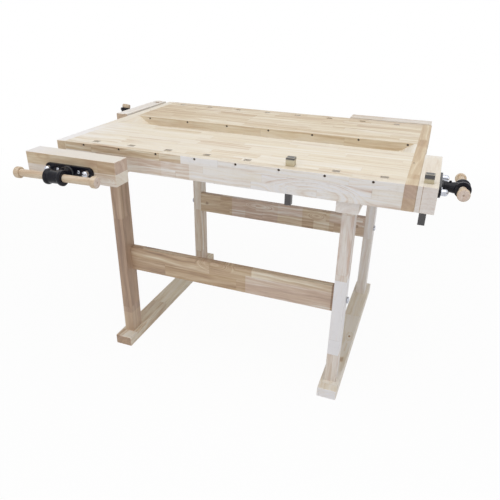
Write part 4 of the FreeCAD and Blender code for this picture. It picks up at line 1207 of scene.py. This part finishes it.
def soft_box(name, power):
    place, target, side, colour = SOFT_BOXES[name]
    light = bpy.data.lights.new(name + "_box", "AREA")
    light.shape = "SQUARE"
    light.size = side
    light.energy = power
    light.color = colour
    lamp = placed(name + "_box", light)
    lamp.location = place
    lamp.rotation_mode = "QUATERNION"
    lamp.rotation_quaternion = (Vector(target) - Vector(place)).to_track_quat("-Z", "Y")


def seen_ray(graph):
    """1 for rays from the camera, mirrors and glass, 0 for those that only light other things."""
    rays = graph.node("ShaderNodeLightPath", {}, {})
    outputs = rays.socket.node.outputs
    seen = [Field(graph, outputs[name]) for name in ("Is Camera Ray", "Is Glossy Ray", "Is Transmission Ray")]
    return seen[0].most(seen[1]).most(seen[2])


class BENCH_OT_stage(bpy.types.Operator):
    """Set up the floor, the soft light and the camera"""
    bl_idname = "bench.stage"
    bl_label = "Set Up Stage"

    def execute(self, context):
        stage = settings().stage
        self.camera(context, stage)
        self.floor(stage)
        self.lights(context, stage)
        return {"FINISHED"}

    def camera(self, context, stage):
        data = bpy.data.cameras.new("camera")
        data.lens = stage.lens
        data.sensor_width = 36.0
        data.shift_x = stage.shift_x
        data.shift_y = stage.shift_y
        data.clip_end = 200.0
        camera = placed("camera", data)
        turn = Vector(stage.turn)
        to_view = Matrix.Rotation(turn.length, 3, turn.normalized())
        camera.matrix_world = Matrix.LocRotScale(
            Vector(stage.eye), to_view.transposed() @ Matrix.Diagonal((1, -1, -1)), None)
        context.scene.camera = camera

    def floor(self, stage):
        half = stage.floor / 2
        mesh = bpy.data.meshes.new("floor")
        corners = [(-half, -half, 0), (half, -half, 0), (half, half, 0), (-half, half, 0)]
        mesh.from_pydata(corners, [], [(0, 1, 2, 3)])
        floor = placed("floor", mesh)
        graph = Finish("floor")
        diffuse = graph.node("ShaderNodeBsdfDiffuse", {}, {"Color": (*stage.floor_colour, 1.0)})
        glow = graph.node("ShaderNodeEmission", {}, {"Color": (1, 1, 1, 1), "Strength": 1.0})
        x, y, _ = graph.split(graph.place())
        glow_here = ((x * x + y * y) ** 0.5).rise(*FADING) * (1.0 - stage.glow) + stage.glow
        factor = seen_ray(graph) * glow_here
        shader = graph.node("ShaderNodeMixShader", {}, {"Fac": factor, "Shader": diffuse, "Shader_001": glow})
        graph.node("ShaderNodeOutputMaterial", {}, {"Surface": shader})
        mesh.materials.append(graph.material)

    def lights(self, context, stage):
        context.scene.view_settings.view_transform = "Standard"
        world = bpy.data.worlds.new("room")
        context.scene.world = world
        world.use_nodes = True
        graph = Graph(world.node_tree)
        strength = seen_ray(graph) * (1.0 - stage.room) + stage.room
        sky = graph.node("ShaderNodeBackground", {}, {"Color": (1, 1, 1, 1), "Strength": strength})
        graph.node("ShaderNodeOutputWorld", {}, {"Surface": sky})
        for name in SOFT_BOXES:
            soft_box(name, getattr(stage, name))


class BENCH_PT_panel(bpy.types.Panel):
    """The bench's pieces and finishes, in the sidebar of the 3D view"""
    bl_idname = "BENCH_PT_panel"
    bl_label = "Woodworking Bench"
    bl_space_type = "VIEW_3D"
    bl_region_type = "UI"
    bl_category = "Bench"

    def draw(self, context):
        for operator in OPERATORS:
            self.layout.operator(operator.bl_idname)


OPERATORS = (
    BENCH_OT_worktop, BENCH_OT_base, BENCH_OT_jaws, BENCH_OT_castings, BENCH_OT_dogs, BENCH_OT_screws,
    BENCH_OT_rods, BENCH_OT_handles, BENCH_OT_fixings, BENCH_OT_stage)
GROUPS = (WoodColours, MetalColours, ViseSizes, HandleSizes, FixingSizes, StageSizes, BenchSettings)
CLASSES = (*GROUPS, *OPERATORS, BENCH_PT_panel)


def register():
    for item in CLASSES:
        bpy.utils.register_class(item)
    bpy.types.Scene.bench_settings = PointerProperty(type=BenchSettings)


def unregister():
    del bpy.types.Scene.bench_settings
    for item in reversed(CLASSES):
        bpy.utils.unregister_class(item)


def main():
    register()
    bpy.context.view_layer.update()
    for operator in OPERATORS:
        module, name = operator.bl_idname.split(".")
        getattr(getattr(bpy.ops, module), name)()


if __name__ == "__main__":
    main()
